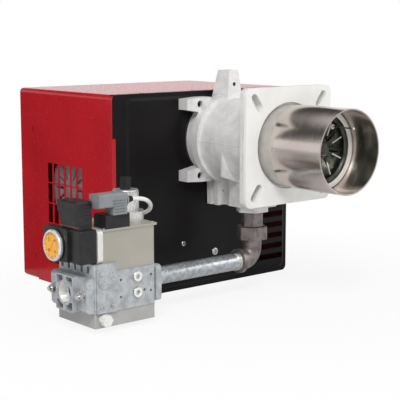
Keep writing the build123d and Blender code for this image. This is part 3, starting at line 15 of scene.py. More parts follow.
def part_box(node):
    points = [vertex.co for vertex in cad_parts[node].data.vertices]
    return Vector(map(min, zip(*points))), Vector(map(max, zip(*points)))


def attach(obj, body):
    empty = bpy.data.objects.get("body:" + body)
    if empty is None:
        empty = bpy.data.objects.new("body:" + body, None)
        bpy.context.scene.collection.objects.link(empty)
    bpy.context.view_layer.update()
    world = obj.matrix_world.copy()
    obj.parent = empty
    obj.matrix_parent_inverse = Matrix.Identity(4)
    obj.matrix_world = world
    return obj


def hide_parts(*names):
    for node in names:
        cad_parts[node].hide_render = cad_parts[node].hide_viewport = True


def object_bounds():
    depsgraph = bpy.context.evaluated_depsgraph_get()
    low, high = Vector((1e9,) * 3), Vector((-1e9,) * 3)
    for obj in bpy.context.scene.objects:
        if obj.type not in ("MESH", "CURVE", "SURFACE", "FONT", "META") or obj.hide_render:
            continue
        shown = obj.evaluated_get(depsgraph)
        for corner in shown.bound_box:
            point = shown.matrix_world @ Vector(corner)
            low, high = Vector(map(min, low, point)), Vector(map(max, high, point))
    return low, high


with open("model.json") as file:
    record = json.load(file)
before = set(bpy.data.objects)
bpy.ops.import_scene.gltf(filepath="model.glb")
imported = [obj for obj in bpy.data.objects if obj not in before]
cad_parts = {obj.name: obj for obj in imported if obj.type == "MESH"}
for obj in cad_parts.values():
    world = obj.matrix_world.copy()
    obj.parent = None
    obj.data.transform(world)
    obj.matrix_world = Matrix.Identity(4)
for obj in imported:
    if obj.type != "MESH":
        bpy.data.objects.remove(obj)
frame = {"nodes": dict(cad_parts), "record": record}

MM = 0.001
CAD_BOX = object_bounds()
print("solids:", len(frame["nodes"]), "box in mm:", [round(v / MM) for corner in CAD_BOX for v in corner])

# %% [markdown]
# Colours are easiest to match as hex codes, the way a paint card gives them, but a shader counts light,
# so it wants linear numbers. One function turns the first into the second. A second function adds a
# shader node, so that every material below reads as a short list of what feeds what.

# %% Colour and node helpers
def linear(code):
    """A hex sRGB colour as the linear numbers that a shader takes."""
    shares = [int(code[k:k + 2], 16) / 255 for k in (1, 3, 5)]
    return (*[s / 12.92 if s <= 0.04045 else ((s + 0.055) / 1.055) ** 2.4 for s in shares], 1.0)


def add(tree, kind, inputs=(), **settings):
    """Adds a node with its settings, and fills its inputs with values or links."""
    made = tree.nodes.new(kind)
    for key, value in settings.items():
        setattr(made, key, value)
    for key, value in dict(inputs).items():
        if isinstance(value, bpy.types.NodeSocket):
            tree.links.new(value, made.inputs[key])
        else:
            made.inputs[key].default_value = value
    return made


print("mid grey is", [round(v, 3) for v in linear("#808080")])

# %% [markdown]
# Every real surface here was made by some process that left a grain: shot on a casting, orange peel in a
# powder coat, lines from a brush. It also changes slowly from place to place where hands, dust and heat
# have been. An image texture would need an unwrapped mesh. A noise on the object's own coordinates needs
# none and has a true size, so that is the way chosen. After its two colours a finish has four numbers: how
# metallic it is, how rough, and the size and height of its grain in millimetres. A grain finer than about
# two millimetres is drawn that coarse, because a finer one can't be seen from here.

# %% One recipe for a worn surface
FINISH = {}


def surface(name, fresh, worn, metallic, roughness, grain, relief, patch=60, stretch=(1, 1, 1),
            pits=None, coat=0.0, spread=0.08, mirror=0.5):
    """Grain in the bump and the gloss, slow patches between two colours, and small pits or specks."""
    made = bpy.data.materials.new(name)
    made.use_nodes = True
    tree = made.node_tree
    shader = tree.nodes["Principled BSDF"]
    shader.inputs["Metallic"].default_value = metallic
    shader.inputs["Coat Weight"].default_value = coat
    shader.inputs["Specular IOR Level"].default_value = mirror
    place = add(tree, "ShaderNodeTexCoord").outputs["Object"]
    laid = add(tree, "ShaderNodeMapping", {"Vector": place, "Scale": stretch}).outputs[0]
    fine = add(tree, "ShaderNodeTexNoise", {"Vector": laid, "Scale": 1 / (grain * MM), "Detail": 4.0,
                                            "Roughness": 0.6}).outputs[0]
    broad = add(tree, "ShaderNodeTexNoise", {"Vector": place, "Scale": 1 / (patch * MM), "Detail": 3.0})
    share = add(tree, "ShaderNodeMapRange", {"Value": broad.outputs[0], "From Min": 0.4, "From Max": 0.7})
    tone = add(tree, "ShaderNodeMix", {0: share.outputs[0], 6: linear(fresh), 7: linear(worn)},
               data_type="RGBA").outputs[2]
    if pits:
        size, colour = pits
        spots = add(tree, "ShaderNodeTexVoronoi", {"Vector": place, "Scale": 1 / (size * MM)})
        near = add(tree, "ShaderNodeMapRange", {"Value": spots.outputs["Distance"], "From Min": 0.1,
                                                "From Max": 0.2, "To Min": 0.8, "To Max": 0.0})
        tone = add(tree, "ShaderNodeMix", {0: near.outputs[0], 6: tone, 7: linear(colour)},
                   data_type="RGBA").outputs[2]
    gloss = add(tree, "ShaderNodeMapRange", {"Value": fine, "From Min": 0.3, "From Max": 0.7,
                                             "To Min": max(roughness - spread, 0.05),
                                             "To Max": roughness + spread}).outputs[0]
    bump = add(tree, "ShaderNodeBump", {"Height": fine, "Strength": 0.7, "Distance": relief * MM})
    for socket, source in (("Base Color", tone), ("Roughness", gloss), ("Normal", bump.outputs[0])):
        tree.links.new(source, shader.inputs[socket])
    FINISH[name] = made
    return made


print("recipe ready")

# %% [markdown]
# The cabinet is bent steel sheet. Its cap and sleeve are powder coated in gloss red and baked, which
# leaves a faint orange peel and a clear skin that mirrors the sky at a low angle. The front panel has a
# satin black coat with a fine texture that hides fingerprints. A baked coat is hard and wears little, so
# its two tones are close and the patches wide. The valve's tray and solenoid box are enamelled grey. The
# duct behind the louvres is coloured dark red as painted shade: it stands for the cabinet's red inner wall,
# which shows in shadow through the louvres.

# %% Painted sheet
surface("gloss_red_powder_coat", "#BE1E28", "#B01A23", 0.0, 0.22, 6.0, 0.02, patch=140, coat=0.1,
        mirror=0.3)
surface("satin_black_powder_coat", "#131112", "#181617", 0.0, 0.36, 2.2, 0.04, patch=110, mirror=0.14)
surface("grey_baked_enamel", "#B0AFAD", "#A3A2A0", 0.1, 0.4, 3.0, 0.03, patch=50)
surface("warm_grey_baked_enamel", "#ACA89E", "#A39F95", 0.1, 0.42, 3.0, 0.03, patch=70)
# Painted shade: one dark red on the duct stands for the red inner wall seen in shadow through the louvres.
surface("louvre_painted_shade_red", "#5E1418", "#3F0D10", 0.0, 0.6, 3.0, 0.03, patch=40)
print("painted finishes:", list(FINISH))

# %% [markdown]
# The head, the neck ring and the valve are pressure die castings in aluminium, shot blasted after
# trimming. Blasting leaves a matt grain with tiny pits, so they look chalky more than metallic. The motor's
# shell is cast finer and keeps more shine. The elbow and the union are malleable iron, darker and rougher,
# as they leave the foundry with a dull black oil skin.

# %% Castings
surface("blasted_die_cast_aluminium", "#E6E4E3", "#D6D4D3", 0.1, 0.42, 2.0, 0.3, patch=20,
        pits=(9.0, "#C6C4C3"))
surface("blasted_valve_casting", "#B9BDC0", "#9DA1A5", 0.25, 0.38, 2.0, 0.3, patch=14,
        pits=(8.0, "#7C7F82"))
surface("motor_casting", "#D6D6D8", "#B5B5B8", 0.6, 0.34, 2.4, 0.12, patch=30)
surface("oiled_malleable_iron", "#8A8280", "#645D5C", 0.6, 0.36, 2.4, 0.3, patch=14,
        pits=(6.0, "#4C4746"))
print("castings:", list(FINISH)[-4:])

# %% [markdown]
# Bare metals are told apart by how light runs over them. The flame tube is rolled from brushed stainless
# sheet, so its grain runs round the tube and its gloss varies in narrow bands. The disc inside has been
# in the flame, which leaves a dark, greenish oxide. Zinc on screws is thin and bright. Hot-dip zinc on the
# pipe freezes into flat crystals, its spangle, and those get cells of their own in the next step. Turned
# aluminium has hardly any grain left and stays pale.

# %% Bare metals
surface("brushed_stainless_tube", "#CFC5BE", "#BFB5AE", 1.0, 0.2, 2.0, 0.015, patch=120,
        stretch=(0.05, 1.0, 0.05), spread=0.04)
# Painted shade: the ring round the flame tube sits in a recess, so its steel is coloured darker than the
# pale steel.
surface("tube_ring_painted_shade", "#B9B5B0", "#A6A29D", 0.2, 0.45, 2.0, 0.04, patch=30)
surface("zinc_plated_screw", "#CFCFCC", "#9A9A97", 1.0, 0.2, 2.0, 0.03, patch=8)
surface("ground_shaft_steel", "#B9B9BC", "#8F8F93", 1.0, 0.25, 2.0, 0.03, patch=16, stretch=(1, 0.1, 0.1))
surface("pale_rolled_steel", "#E2E1DD", "#CFCECA", 0.3, 0.36, 2.0, 0.04, patch=30, stretch=(0.1, 1, 0.1))
surface("heat_darkened_steel", "#5B6058", "#33372F", 0.75, 0.38, 2.4, 0.15, patch=14)
surface("galvanised_fan_sheet", "#B4B7BB", "#8B8E93", 0.9, 0.36, 4.0, 0.05, patch=14)
surface("turned_aluminium", "#E6E5E3", "#D2D1CF", 0.6, 0.26, 2.0, 0.02, patch=12, stretch=(1, 1, 0.15),
        spread=0.04)
surface("black_oxide_screw", "#1E1E21", "#2C2C30", 0.6, 0.4, 2.0, 0.05, patch=6)
spangle = surface("galvanised_pipe", "#C4C8CB", "#9FA4A9", 0.8, 0.3, 3.0, 0.12, patch=9,
                  stretch=(0.3, 1, 1))
print("metals:", len(FINISH))

# %% [markdown]
# Zinc crystals on a dipped pipe are five to ten millimetres across and flat, each a little lighter or
# darker than its neighbour. A voronoi texture gives just such cells: its colour is random per cell, and
# one channel of it lifts or lowers the tone.

# %% Spangle on the pipe
CRYSTAL = 6                     # mm across
tree = spangle.node_tree
place = next(n for n in tree.nodes if n.type == "TEX_COORD").outputs["Object"]
shader = tree.nodes["Principled BSDF"]
below = shader.inputs["Base Color"].links[0].from_socket
cells = add(tree, "ShaderNodeTexVoronoi", {"Vector": place, "Scale": 1 / (CRYSTAL * MM)})
depth = add(tree, "ShaderNodeSeparateColor", {"Color": cells.outputs["Color"]}).outputs[0]
share = add(tree, "ShaderNodeMapRange", {"Value": depth, "To Min": 0.0, "To Max": 0.35}).outputs[0]
tone = add(tree, "ShaderNodeMix", {0: share, 6: below, 7: linear("#6F757C")}, data_type="RGBA").outputs[2]
tree.links.new(tone, shader.inputs["Base Color"])
print("spangle cells of", CRYSTAL, "mm")

# %% [markdown]
# The rest is moulded. Glass-filled nylon of the plugs and the pressure switch is dull, because fibres
# stand in its skin. Clear-skinned plastics such as the caps are glossier. PVC on the leads is soft and
# waxy. The boiler gasket is pressed ceramic fibre: chalky, white, and never shiny.

# %% Plastics, rubber, fibre and ceramic
surface("black_glass_nylon", "#1E1E20", "#29292B", 0.0, 0.38, 2.0, 0.06, patch=22, mirror=0.3)
surface("grey_glass_nylon", "#85888A", "#747779", 0.0, 0.45, 2.0, 0.06, patch=22)
surface("gloss_red_button", "#BF1F1C", "#A81A18", 0.0, 0.25, 3.0, 0.02, patch=10)
surface("pale_abs", "#CDCDC8", "#BDBDB7", 0.0, 0.4, 2.0, 0.04, patch=20)
surface("white_moulded_cap", "#EDECE8", "#DCDBD6", 0.0, 0.3, 2.4, 0.04, patch=9)
surface("orange_dial_abs", "#FDB93C", "#F5A92F", 0.0, 0.4, 2.0, 0.04, patch=14)
surface("white_pvc_lead", "#ECECEA", "#DCDCD9", 0.0, 0.38, 3.0, 0.05, patch=26)
surface("black_rubber", "#171718", "#222223", 0.0, 0.6, 2.0, 0.08, patch=12)
surface("ceramic_fibre_board", "#EEEEEB", "#E3E3DF", 0.0, 0.88, 2.4, 0.14, patch=70)
surface("glazed_ceramic", "#EFEDE5", "#E4E1D6", 0.0, 0.15, 4.0, 0.02, patch=20, coat=0.4)
surface("red_silicone", "#8C4238", "#7A382F", 0.0, 0.5, 2.0, 0.04, patch=10)
surface("printed_dark_ink", "#4A3A22", "#5A4930", 0.0, 0.55, 2.0, 0.01, patch=6)
print("finishes in all:", len(FINISH))

# %% [markdown]
# Each solid names a material slot in its record. A short table says which finish fills which slot. Five
# solids leave their slot's usual finish: the screws of the arms and of the rear cover are blackened, the
# duct behind the louvres is dark red as painted shade for the cabinet's red inner wall in shadow, the ring
# that holds the flame tube is darkened as painted shade for its recess, and the plate beside the pressure
# switch is rolled and not turned.

# %% Dress the solids
SLOT_FINISH = {
    "red_paint": "gloss_red_powder_coat", "black_paint": "satin_black_powder_coat",
    "zinc_steel": "zinc_plated_screw", "galvanised": "galvanised_pipe",
    "cast_aluminium": "blasted_die_cast_aluminium", "motor_aluminium": "motor_casting",
    "wheel_steel": "galvanised_fan_sheet", "ground_steel": "ground_shaft_steel",
    "black_plastic": "black_glass_nylon", "red_plastic": "gloss_red_button", "pale_plastic": "pale_abs",
    "white_gasket": "ceramic_fibre_board", "pale_steel": "pale_rolled_steel",
    "stainless": "brushed_stainless_tube", "heat_steel": "heat_darkened_steel",
    "white_ceramic": "glazed_ceramic", "malleable_iron": "oiled_malleable_iron",
    "valve_casting": "blasted_valve_casting", "grey_paint": "grey_baked_enamel",
    "warm_grey_paint": "warm_grey_baked_enamel", "turned_aluminium": "turned_aluminium",
    "white_plastic": "white_moulded_cap", "grey_plastic": "grey_glass_nylon",
    "orange_dial": "orange_dial_abs", "white_pvc": "white_pvc_lead", "black_rubber": "black_rubber",
}
# air_duct: dark red as painted shade for the red inner wall seen through the louvres.
OWN_FINISH = {"casting_bolts": "black_oxide_screw", "air_duct": "louvre_painted_shade_red",
              # tube_ring: darker steel as painted shade for its recess.
              "cover_screws": "black_oxide_screw", "tube_ring": "tube_ring_painted_shade",
              "switch_plate": "pale_rolled_steel"}
for part in frame["record"]["subparts"]:
    solid = frame["nodes"][part["node"]]
    solid.data.materials.clear()
    solid.data.materials.append(FINISH[OWN_FINISH.get(part["node"], SLOT_FINISH[part["material_slot"]])])

# %% [markdown]
# Small round trim such as screw heads, rings and thread is lathe work, so it is made as a lathe makes it:
# a profile is drawn point by point with extrude, and spin turns it about its axis. The other way, a stack
# of cylinders, would leave inner walls. A profile that ends where it began gives a ring, and one that
# starts and ends on the axis gives a solid head. Flat trim starts as a block with beveled edges, and copies
# in a ring are swung round a given centre. Each piece then takes a finish and a body.

# %% Tools for new pieces
PIECES = []


def clean(piece):
    """Joins doubled points and turns all faces outwards."""
    bpy.ops.object.mode_set(mode="EDIT")
    bpy.ops.mesh.select_all(action="SELECT")
    bpy.ops.mesh.remove_doubles(threshold=0.005 * MM)
    bpy.ops.mesh.normals_make_consistent(inside=False)
    bpy.ops.object.mode_set(mode="OBJECT")


def start(kind, name, **settings):
    """Adds a primitive as the start of a piece, with nothing else selected."""
    bpy.ops.object.select_all(action="DESELECT")
    getattr(bpy.ops.mesh, f"primitive_{kind}_add")(**settings)
    piece = bpy.context.object
    piece.name = piece.data.name = name
    bpy.ops.object.transform_apply(location=True, rotation=True, scale=True)
    return piece


def finished(piece, finish, body="burner"):
    """Smooths a piece, gives it its finish and lets it ride on its body."""
    bpy.ops.object.shade_smooth_by_angle(angle=radians(35))
    piece.data.materials.clear()
    piece.data.materials.append(FINISH[finish])
    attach(piece, body)
    PIECES.append(piece)
    return piece


def turned(name, profile, centre, axis, steps=32):
    """Lathe work: (along, out) points in mm, spun round the axis through centre (mm)."""
    piece = start("plane", name, size=MM)
    bpy.ops.object.mode_set(mode="EDIT")
    bpy.ops.mesh.select_mode(type="VERT")
    bpy.ops.mesh.select_all(action="SELECT")
    bpy.ops.mesh.merge(type="CENTER")
    along = Vector(axis).normalized()
    out = along.orthogonal().normalized()
    middle, here = Vector(centre) * MM, Vector()
    for k, (a, r) in enumerate(profile):
        there = middle + (along * a + out * r) * MM
        if k == 0:
            bpy.ops.transform.translate(value=there)
        else:
            bpy.ops.mesh.extrude_region_move(TRANSFORM_OT_translate={"value": there - here})
        here = there
    bpy.ops.mesh.select_all(action="SELECT")
    bpy.ops.mesh.spin(steps=steps, angle=tau, center=middle, axis=along)
    bpy.ops.object.mode_set(mode="OBJECT")
    clean(piece)
    return piece


def beveled(name, low, high, width, segments=2):
    """A block between two corners in mm with its edges rounded by a bevel."""
    low, high = Vector(low), Vector(high)
    piece = start("cube", name, size=1, location=(low + high) / 2 * MM, scale=(high - low) * MM)
    bpy.ops.object.mode_set(mode="EDIT")
    bpy.ops.mesh.select_all(action="SELECT")
    bpy.ops.mesh.bevel(offset=width * MM, segments=segments, affect="EDGES")
    bpy.ops.object.mode_set(mode="OBJECT")
    return piece


def swing(turn, axis, centre=(0, 0, 0)):
    """Turns the active piece's points by degrees about an axis through a centre in metres."""
    bpy.ops.object.mode_set(mode="EDIT")
    bpy.ops.mesh.select_all(action="SELECT")
    bpy.ops.transform.rotate(value=radians(turn), orient_axis=axis, center_override=centre)
    bpy.ops.object.mode_set(mode="OBJECT")


def low_high(node):
    """A solid's box in mm."""
    return [Vector(corner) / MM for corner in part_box(node)]


print("tools ready")

# %% [markdown]
# Two white PVC leads leave the train: one from the grey plug on the coils, one from the black plug on the
# pressure switch. Both go back into the cabinet through rubber grommets. A lead is a fixed length of
# something bendy, so it is one smooth NURBS curve through the same route points as its solid, of order
# three, which hugs the route and never kinks. The curve stands in for the plain tube.

# %% The two leads
LEAD_RADIUS = 3.8
GROMMET_X, GROMMET_Y = -204.0, 201.0
VALVE_ROUTE = [
    (-344, 49, -75), (-325, 49, -75), (-300, 50, -79), (-283, 58, -90), (-271, 74, -102),
    (-264, 95, -112), (-262, 120, -120), (-264, 143, -133), (-263, 157, -154), (-257, 164, -175),
    (-246, 167, -190), (-223.5, 167.2, -196), (-211.1, 174.3, -196), (GROMMET_X, 186.7, -196),
    (GROMMET_X, GROMMET_Y, -196),
]
SWITCH_ROUTE = [
    (-429, 119, -101), (-429, 119, -122), (-427, 128, -143), (-421, 144, -158), (-408, 157, -168),
    (-385, 163, -178), (-355, 165, -189), (-320, 166, -201), (-285, 167, -211), (-250, 167, -221),
    (-223.5, 167.2, -227), (-211.1, 174.3, -227), (GROMMET_X, 186.7, -227), (GROMMET_X, GROMMET_Y, -227),
]


def lead(name, node, route):
    """A round lead on a smooth curve through a route in mm, in the place of its plain tube."""
    line = bpy.data.curves.new(name, "CURVE")
    line.dimensions = "3D"
    spline = line.splines.new("NURBS")
    spline.points.add(len(route) - 1)
    for point, place in zip(spline.points, route):
        point.co = (*[v * MM for v in place], 1)
    spline.order_u = 3
    spline.use_endpoint_u = True
    line.resolution_u = 16
    line.bevel_depth = LEAD_RADIUS * MM
    line.bevel_resolution = 6
    line.use_fill_caps = True
    made = bpy.data.objects.new(name, line)
    bpy.context.collection.objects.link(made)
    line.materials.append(FINISH["white_pvc_lead"])
    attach(made, "burner")
    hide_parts(node)
    print(name, "through", len(route), "points")
    return made


valve_cable = lead("valve_cable", "valve_lead", VALVE_ROUTE)
switch_cable = lead("switch_cable", "switch_lead", SWITCH_ROUTE)

# %% [markdown]
# Where a lead leaves a housing, a tapered sleeve spreads the bend so that the core doesn't break there.
# Real ones are moulded in rubber with ribs that let them flex. The profile is a hollow cone whose outside
# steps in and out four times, and the lathe tool turns it round the lead's first straight stretch.

# %% Strain reliefs
RIBS = 4
RIB_SHAPE = ((0.0, 0.0), (0.55, 0.0), (0.6, 0.9), (0.95, 0.9))      # share of the pitch, depth in mm


def relief(name, centre, axis, length, wide, narrow):
    """A ribbed, tapered sleeve round a lead, from wide to narrow."""
    bore = LEAD_RADIUS + 0.15
    outside = []
    for k in range(RIBS):
        for part, drop in RIB_SHAPE:
            share = (k + part) / RIBS
            outside.append((length * share, max(wide + (narrow - wide) * share - drop, bore + 0.4)))
    profile = [(0, bore), *outside, (length, narrow - 0.3), (length, bore), (0, bore)]
    return finished(turned(name, profile, centre, axis, steps=28), "black_rubber")


valve_relief = relief("valve_plug_relief", VALVE_ROUTE[0], (1, 0, 0), 12, 7.2, 4.9)
switch_relief = relief("switch_plug_relief", SWITCH_ROUTE[0], (0, 0, -1), 13, 6.8, 4.9)
valve_end = relief("valve_grommet_relief", VALVE_ROUTE[-1], (0, -1, 0), 10, 6.4, 4.8)
switch_end = relief("switch_grommet_relief", SWITCH_ROUTE[-1], (0, -1, 0), 10, 6.4, 4.8)
print("reliefs:", [p.name for p in PIECES])

# %% [markdown]
# The grey plug is squeezed on by a cap nut over a black O-ring, and the black plug stands on a thin red
# silicone gasket. Both show as one dark or warm line between two greys, and without them the plugs look
# moulded in one with what they sit on.

# %% Seals of the two plugs
O_RING = [(0, 11.2), (0, 12.2), (0.8, 13.0), (2.6, 13.0), (3.4, 12.2), (3.4, 11.2), (0, 11.2)]
RING_BACK = 9                   # from the plug's end
GASKET_FRONT, GASKET_BACK, GASKET_LONG, GASKET_THICK = 51.4, 102.6, 35.2, 1.4
_, plug_y, plug_z = VALVE_ROUTE[0]
ring_x = low_high("coil_plug")[1].x - RING_BACK
finished(turned("plug_ring", O_RING, (ring_x, plug_y, plug_z), (1, 0, 0)), "black_rubber")
low, _ = low_high("switch_plug")
left, foot = low.x - 0.6, low.z
gasket = beveled("plug_gasket", (left, GASKET_FRONT, foot - GASKET_THICK),
                 (left + GASKET_LONG, GASKET_BACK, foot), 0.5)
finished(gasket, "red_silicone")
print("plug foot at z", round(foot, 1))

# %% [markdown]
# Where pipe meets fitting, a few turns of thread stay outside, because a taper thread jams before it runs
# out, and the open inlet shows its whole thread. A true helix would not show at this size, so the thread
# is a ring with a sawtooth profile of the real pitch: 11 turns to the inch, 2.3 mm, for a one-inch pipe.

# %% Pipe thread
PIPE_PITCH = 2.31
INLET_BORE, INLET_TURNS = 19.5, 9
pipe_low, pipe_high = low_high("gas_pipe")
radius = (pipe_high.z - pipe_low.z) / 2
axis_y, axis_z = (pipe_high.y + pipe_low.y) / 2, (pipe_high.z + pipe_low.z) / 2


def sawtooth(turns, wall, root, crest, last):
    """A closed ring profile: a plain wall, and teeth from root to crest on its other side."""
    teeth = []
    for k in range(turns):
        teeth += [(k * PIPE_PITCH, root), ((k + 0.5) * PIPE_PITCH, crest)]
    return [(0, wall), *teeth, (turns * PIPE_PITCH, last), (turns * PIPE_PITCH, wall), (0, wall)]


for name, start_x, way, turns in (("elbow_thread", low_high("pipe_elbow")[0].x + 0.3, -1, 5),
                                  ("flange_thread", low_high("outlet_flange")[1].x - 0.3, 1, 3)):
    outside = sawtooth(turns, radius - 0.6, radius + 0.15, radius + 0.85, radius + 0.1)
    finished(turned(name, outside, (start_x, axis_y, axis_z), (way, 0, 0), steps=40),
             "zinc_plated_screw")
inside = sawtooth(INLET_TURNS, INLET_BORE + 0.3, INLET_BORE - 0.1, INLET_BORE - 1.2, INLET_BORE - 0.1)
inlet_x = low_high("inlet_flange")[0].x
finished(turned("inlet_thread", inside, (inlet_x + 1.5, axis_y, axis_z), (1, 0, 0), steps=48),
         "turned_aluminium")
print("thread radius", round(radius, 2), "inlet from", round(inlet_x, 1))

# %% [markdown]
# The two test nipples on the valve's front are closed by screws in white nylon rings. A ring is a turned
# washer with a rounded rim.

# %% Test point rings
WASHER = [(0, 4.6), (0, 9.0), (0.9, 9.0), (1.5, 8.4), (1.5, 5.2), (0.9, 4.6), (0, 4.6)]
POINT_RADIUS = 9.2
low, high = low_high("test_points")
centre_x = (low.x + high.x) / 2
for k, z in enumerate((high.z - POINT_RADIUS, low.z + POINT_RADIUS)):
    ring = turned(f"test_ring_{k + 1}", WASHER, (centre_x, low.y, z), (0, -1, 0))
    finished(ring, "white_moulded_cap")
print("rings at x", round(centre_x, 1))

# %% [markdown]
# Small socket screws hold the coil's lid at its corners. Each is one turned head with a recess, made again
# where it is needed. The heads on the flame tube are low domes, since they are screwed from outside into
# the ring.

# %% Socket and dome screws
HEAD = [(0, 3.3), (1.3, 3.3), (2.0, 2.7), (2.0, 1.7), (0.9, 1.5), (0.9, 0.0)]
DOME = [(0, 3.6), (0.6, 3.5), (1.3, 2.7), (1.7, 1.3), (1.2, 0.9), (1.2, 0.0)]
LID_INSET = 7
low, high = low_high("coil_lid")
corners = [(x, y) for y in (low.y + LID_INSET, high.y - LID_INSET)
           for x in (low.x + LID_INSET, high.x - LID_INSET)]
for k, (x, y) in enumerate(corners):
    finished(turned(f"lid_screw_{k + 1}", HEAD, (x, y, high.z), (0, 0, 1), steps=20),
             "zinc_plated_screw")
tube_low, tube_high = low_high("flame_tube")
tube_radius = (tube_high.x - tube_low.x) / 2
low, high = low_high("tube_screws")
screw_y = (low.y + high.y) / 2
for k, turn in enumerate((180, 60, -60)):
    way = Vector((cos(radians(turn)), 0, sin(radians(turn))))
    seat = way * (tube_radius - 0.1) + Vector((0, screw_y, 0))
    head = turned(f"tube_screw_head_{k + 1}", DOME, seat, way, steps=20)
    finished(head, "zinc_plated_screw")
print("tube radius", round(tube_radius, 2), "screws at y", round(screw_y, 1))

# %% [markdown]
# Inside the tube, air passes through the slots of the swirl disc and round its edge, where a pale steel
# ring guides it. The flame rod ends in a small bead left by cutting it with a torch. Both belong to the
# sliding head, so they ride on that body and move with it.

# %% Swirl ring and flame rod bead
BEAD_RADIUS = 2.4
disc_low, disc_high = low_high("brake_plate")
disc_radius = (disc_high.x - disc_low.x) / 2
inner, lip, outer = disc_radius + 0.4, disc_radius + 9, disc_radius + 10.4
ring = turned("swirl_ring", [(0, inner), (-1.5, disc_radius + 3), (-1.5, lip), (0, outer), (12, outer),
                             (12, lip), (1.5, lip), (1.5, inner), (0, inner)],
              (0, disc_low.y - 3, 0), (0, 1, 0), steps=64)
finished(ring, "pale_rolled_steel", "burner_head")
rods_y = low_high("electrode_rods")[0].y
tip = [v.co / MM for v in frame["nodes"]["electrode_rods"].data.vertices if v.co.y / MM < rods_y + 0.4]
middle = sum(tip, Vector()) / len(tip)
half_circle = [(BEAD_RADIUS * (1 - cos(pi * k / 8)), BEAD_RADIUS * sin(pi * k / 8)) for k in range(9)]
bead = turned("flame_rod_bead", half_circle, (middle.x, rods_y - 3.6, middle.z), (0, 1, 0), steps=20)
finished(bead, "pale_rolled_steel", "burner_head")
print("disc radius", round(disc_radius, 1), "rod tip", [round(v, 1) for v in middle])

# %% [markdown]
# A rib on the disc's face between each pair of slots stiffens it and stirs the air. It is pressed from
# the sheet, so its edge catches the light as a short bright line. One thin beveled bar is swung round the
# centre for each of them.

# %% Swirl ribs
SWIRL_RIBS = 8
for k in range(SWIRL_RIBS):
    rib = beveled(f"swirl_rib_{k + 1}", (26, disc_low.y - 1.8, -1.2), (52, disc_low.y + 0.1, 1.2), 0.5)
    swing(360 / SWIRL_RIBS * (k + 0.5), "Y")
    finished(rib, "pale_rolled_steel", "burner_head")
print("ribs:", SWIRL_RIBS)

# %% [markdown]
# The setting dial carries a plain scale, so that a fitter can read where the pressure was set. The ticks
# are short raised bars round the rim, and the figures are extruded text made into a mesh before it is
# placed. Text starts flat and faces up, and a matrix turns it to face outwards from the dial.

# %% Dial scale
TICKS = 12
low, high = low_high("setting_dial")
dial_y, dial_z, face = (low.y + high.y) / 2, (low.z + high.z) / 2, low.x
rim = (high.y - low.y) / 2
FACING = Matrix(((0, 0, -1), (-1, 0, 0), (0, 1, 0))).to_4x4()
for k, figure in enumerate("2468"):
    turn = radians(135 - 90 * k)
    bpy.ops.object.select_all(action="DESELECT")
    bpy.ops.object.text_add()
    figures = bpy.context.object.data
    figures.body = figure
    figures.size = 8 * MM
    figures.align_x, figures.align_y = "CENTER", "CENTER"
    figures.extrude = 0.25 * MM
    bpy.ops.object.convert(target="MESH")
    sign = bpy.context.object
    sign.name = sign.data.name = f"dial_figure_{figure}"
    across, up = cos(turn) * rim * 0.6, sin(turn) * rim * 0.6
    sign.matrix_world = Matrix.Translation(Vector((face - 0.1, dial_y - across, dial_z + up)) * MM) @ FACING
    bpy.ops.object.transform_apply(location=True, rotation=True, scale=True)
    clean(sign)
    finished(sign, "printed_dark_ink", "dial")
for k in range(TICKS):
    tick = beveled(f"dial_tick_{k + 1}", (face - 0.35, dial_y + rim * 0.82, dial_z - 0.4),
                   (face + 0.3, dial_y + rim * 0.95, dial_z + 0.4), 0.12, segments=1)
    swing(360 / TICKS * k, "X", (0, dial_y * MM, dial_z * MM))
    finished(tick, "printed_dark_ink", "dial")
print("dial rim", round(rim, 1))

# %% [markdown]
# The flow adjuster's barrel is fluted for grip. It starts as a plain cylinder. Every second side face is
# picked by its place, and extruding those faces inwards one by one leaves the flutes.

# %% Fluted barrel
low, high = low_high("flow_adjuster")
middle_x, middle_y = (low.x + high.x) / 2, (low.y + high.y) / 2
FLUTES, FLUTE_DEPTH = 26, 0.9
SLEEVE_RADIUS, SLEEVE_HEIGHT, SLEEVE_DOWN = 24.4, 32, 19
barrel = start("cylinder", "fluted_barrel", vertices=FLUTES * 2, radius=SLEEVE_RADIUS * MM,
               depth=SLEEVE_HEIGHT * MM,
               location=(middle_x * MM, middle_y * MM, (high.z - SLEEVE_DOWN) * MM))
bpy.ops.object.mode_set(mode="EDIT")
bpy.ops.mesh.select_mode(type="FACE")
bpy.ops.mesh.select_all(action="DESELECT")
bpy.ops.object.mode_set(mode="OBJECT")
sides = [f for f in barrel.data.polygons if abs(f.normal.z) < 0.5]
for k, f in enumerate(sides):
    f.select = k % 2 == 0
bpy.ops.object.mode_set(mode="EDIT")
bpy.ops.mesh.extrude_faces_move(TRANSFORM_OT_shrink_fatten={"value": -FLUTE_DEPTH * MM})
bpy.ops.object.mode_set(mode="OBJECT")
finished(barrel, "turned_aluminium")
print("flutes", FLUTES)

# %% [markdown]
# A die leaves a thin raised line on a casting where its halves met. On the head it runs along the barrel
# at the height of the axis, on both sides, and a slim bevelled bar sunk in the wall is enough to draw it.
# A flat black seal closes the joint between the neck and the panel.

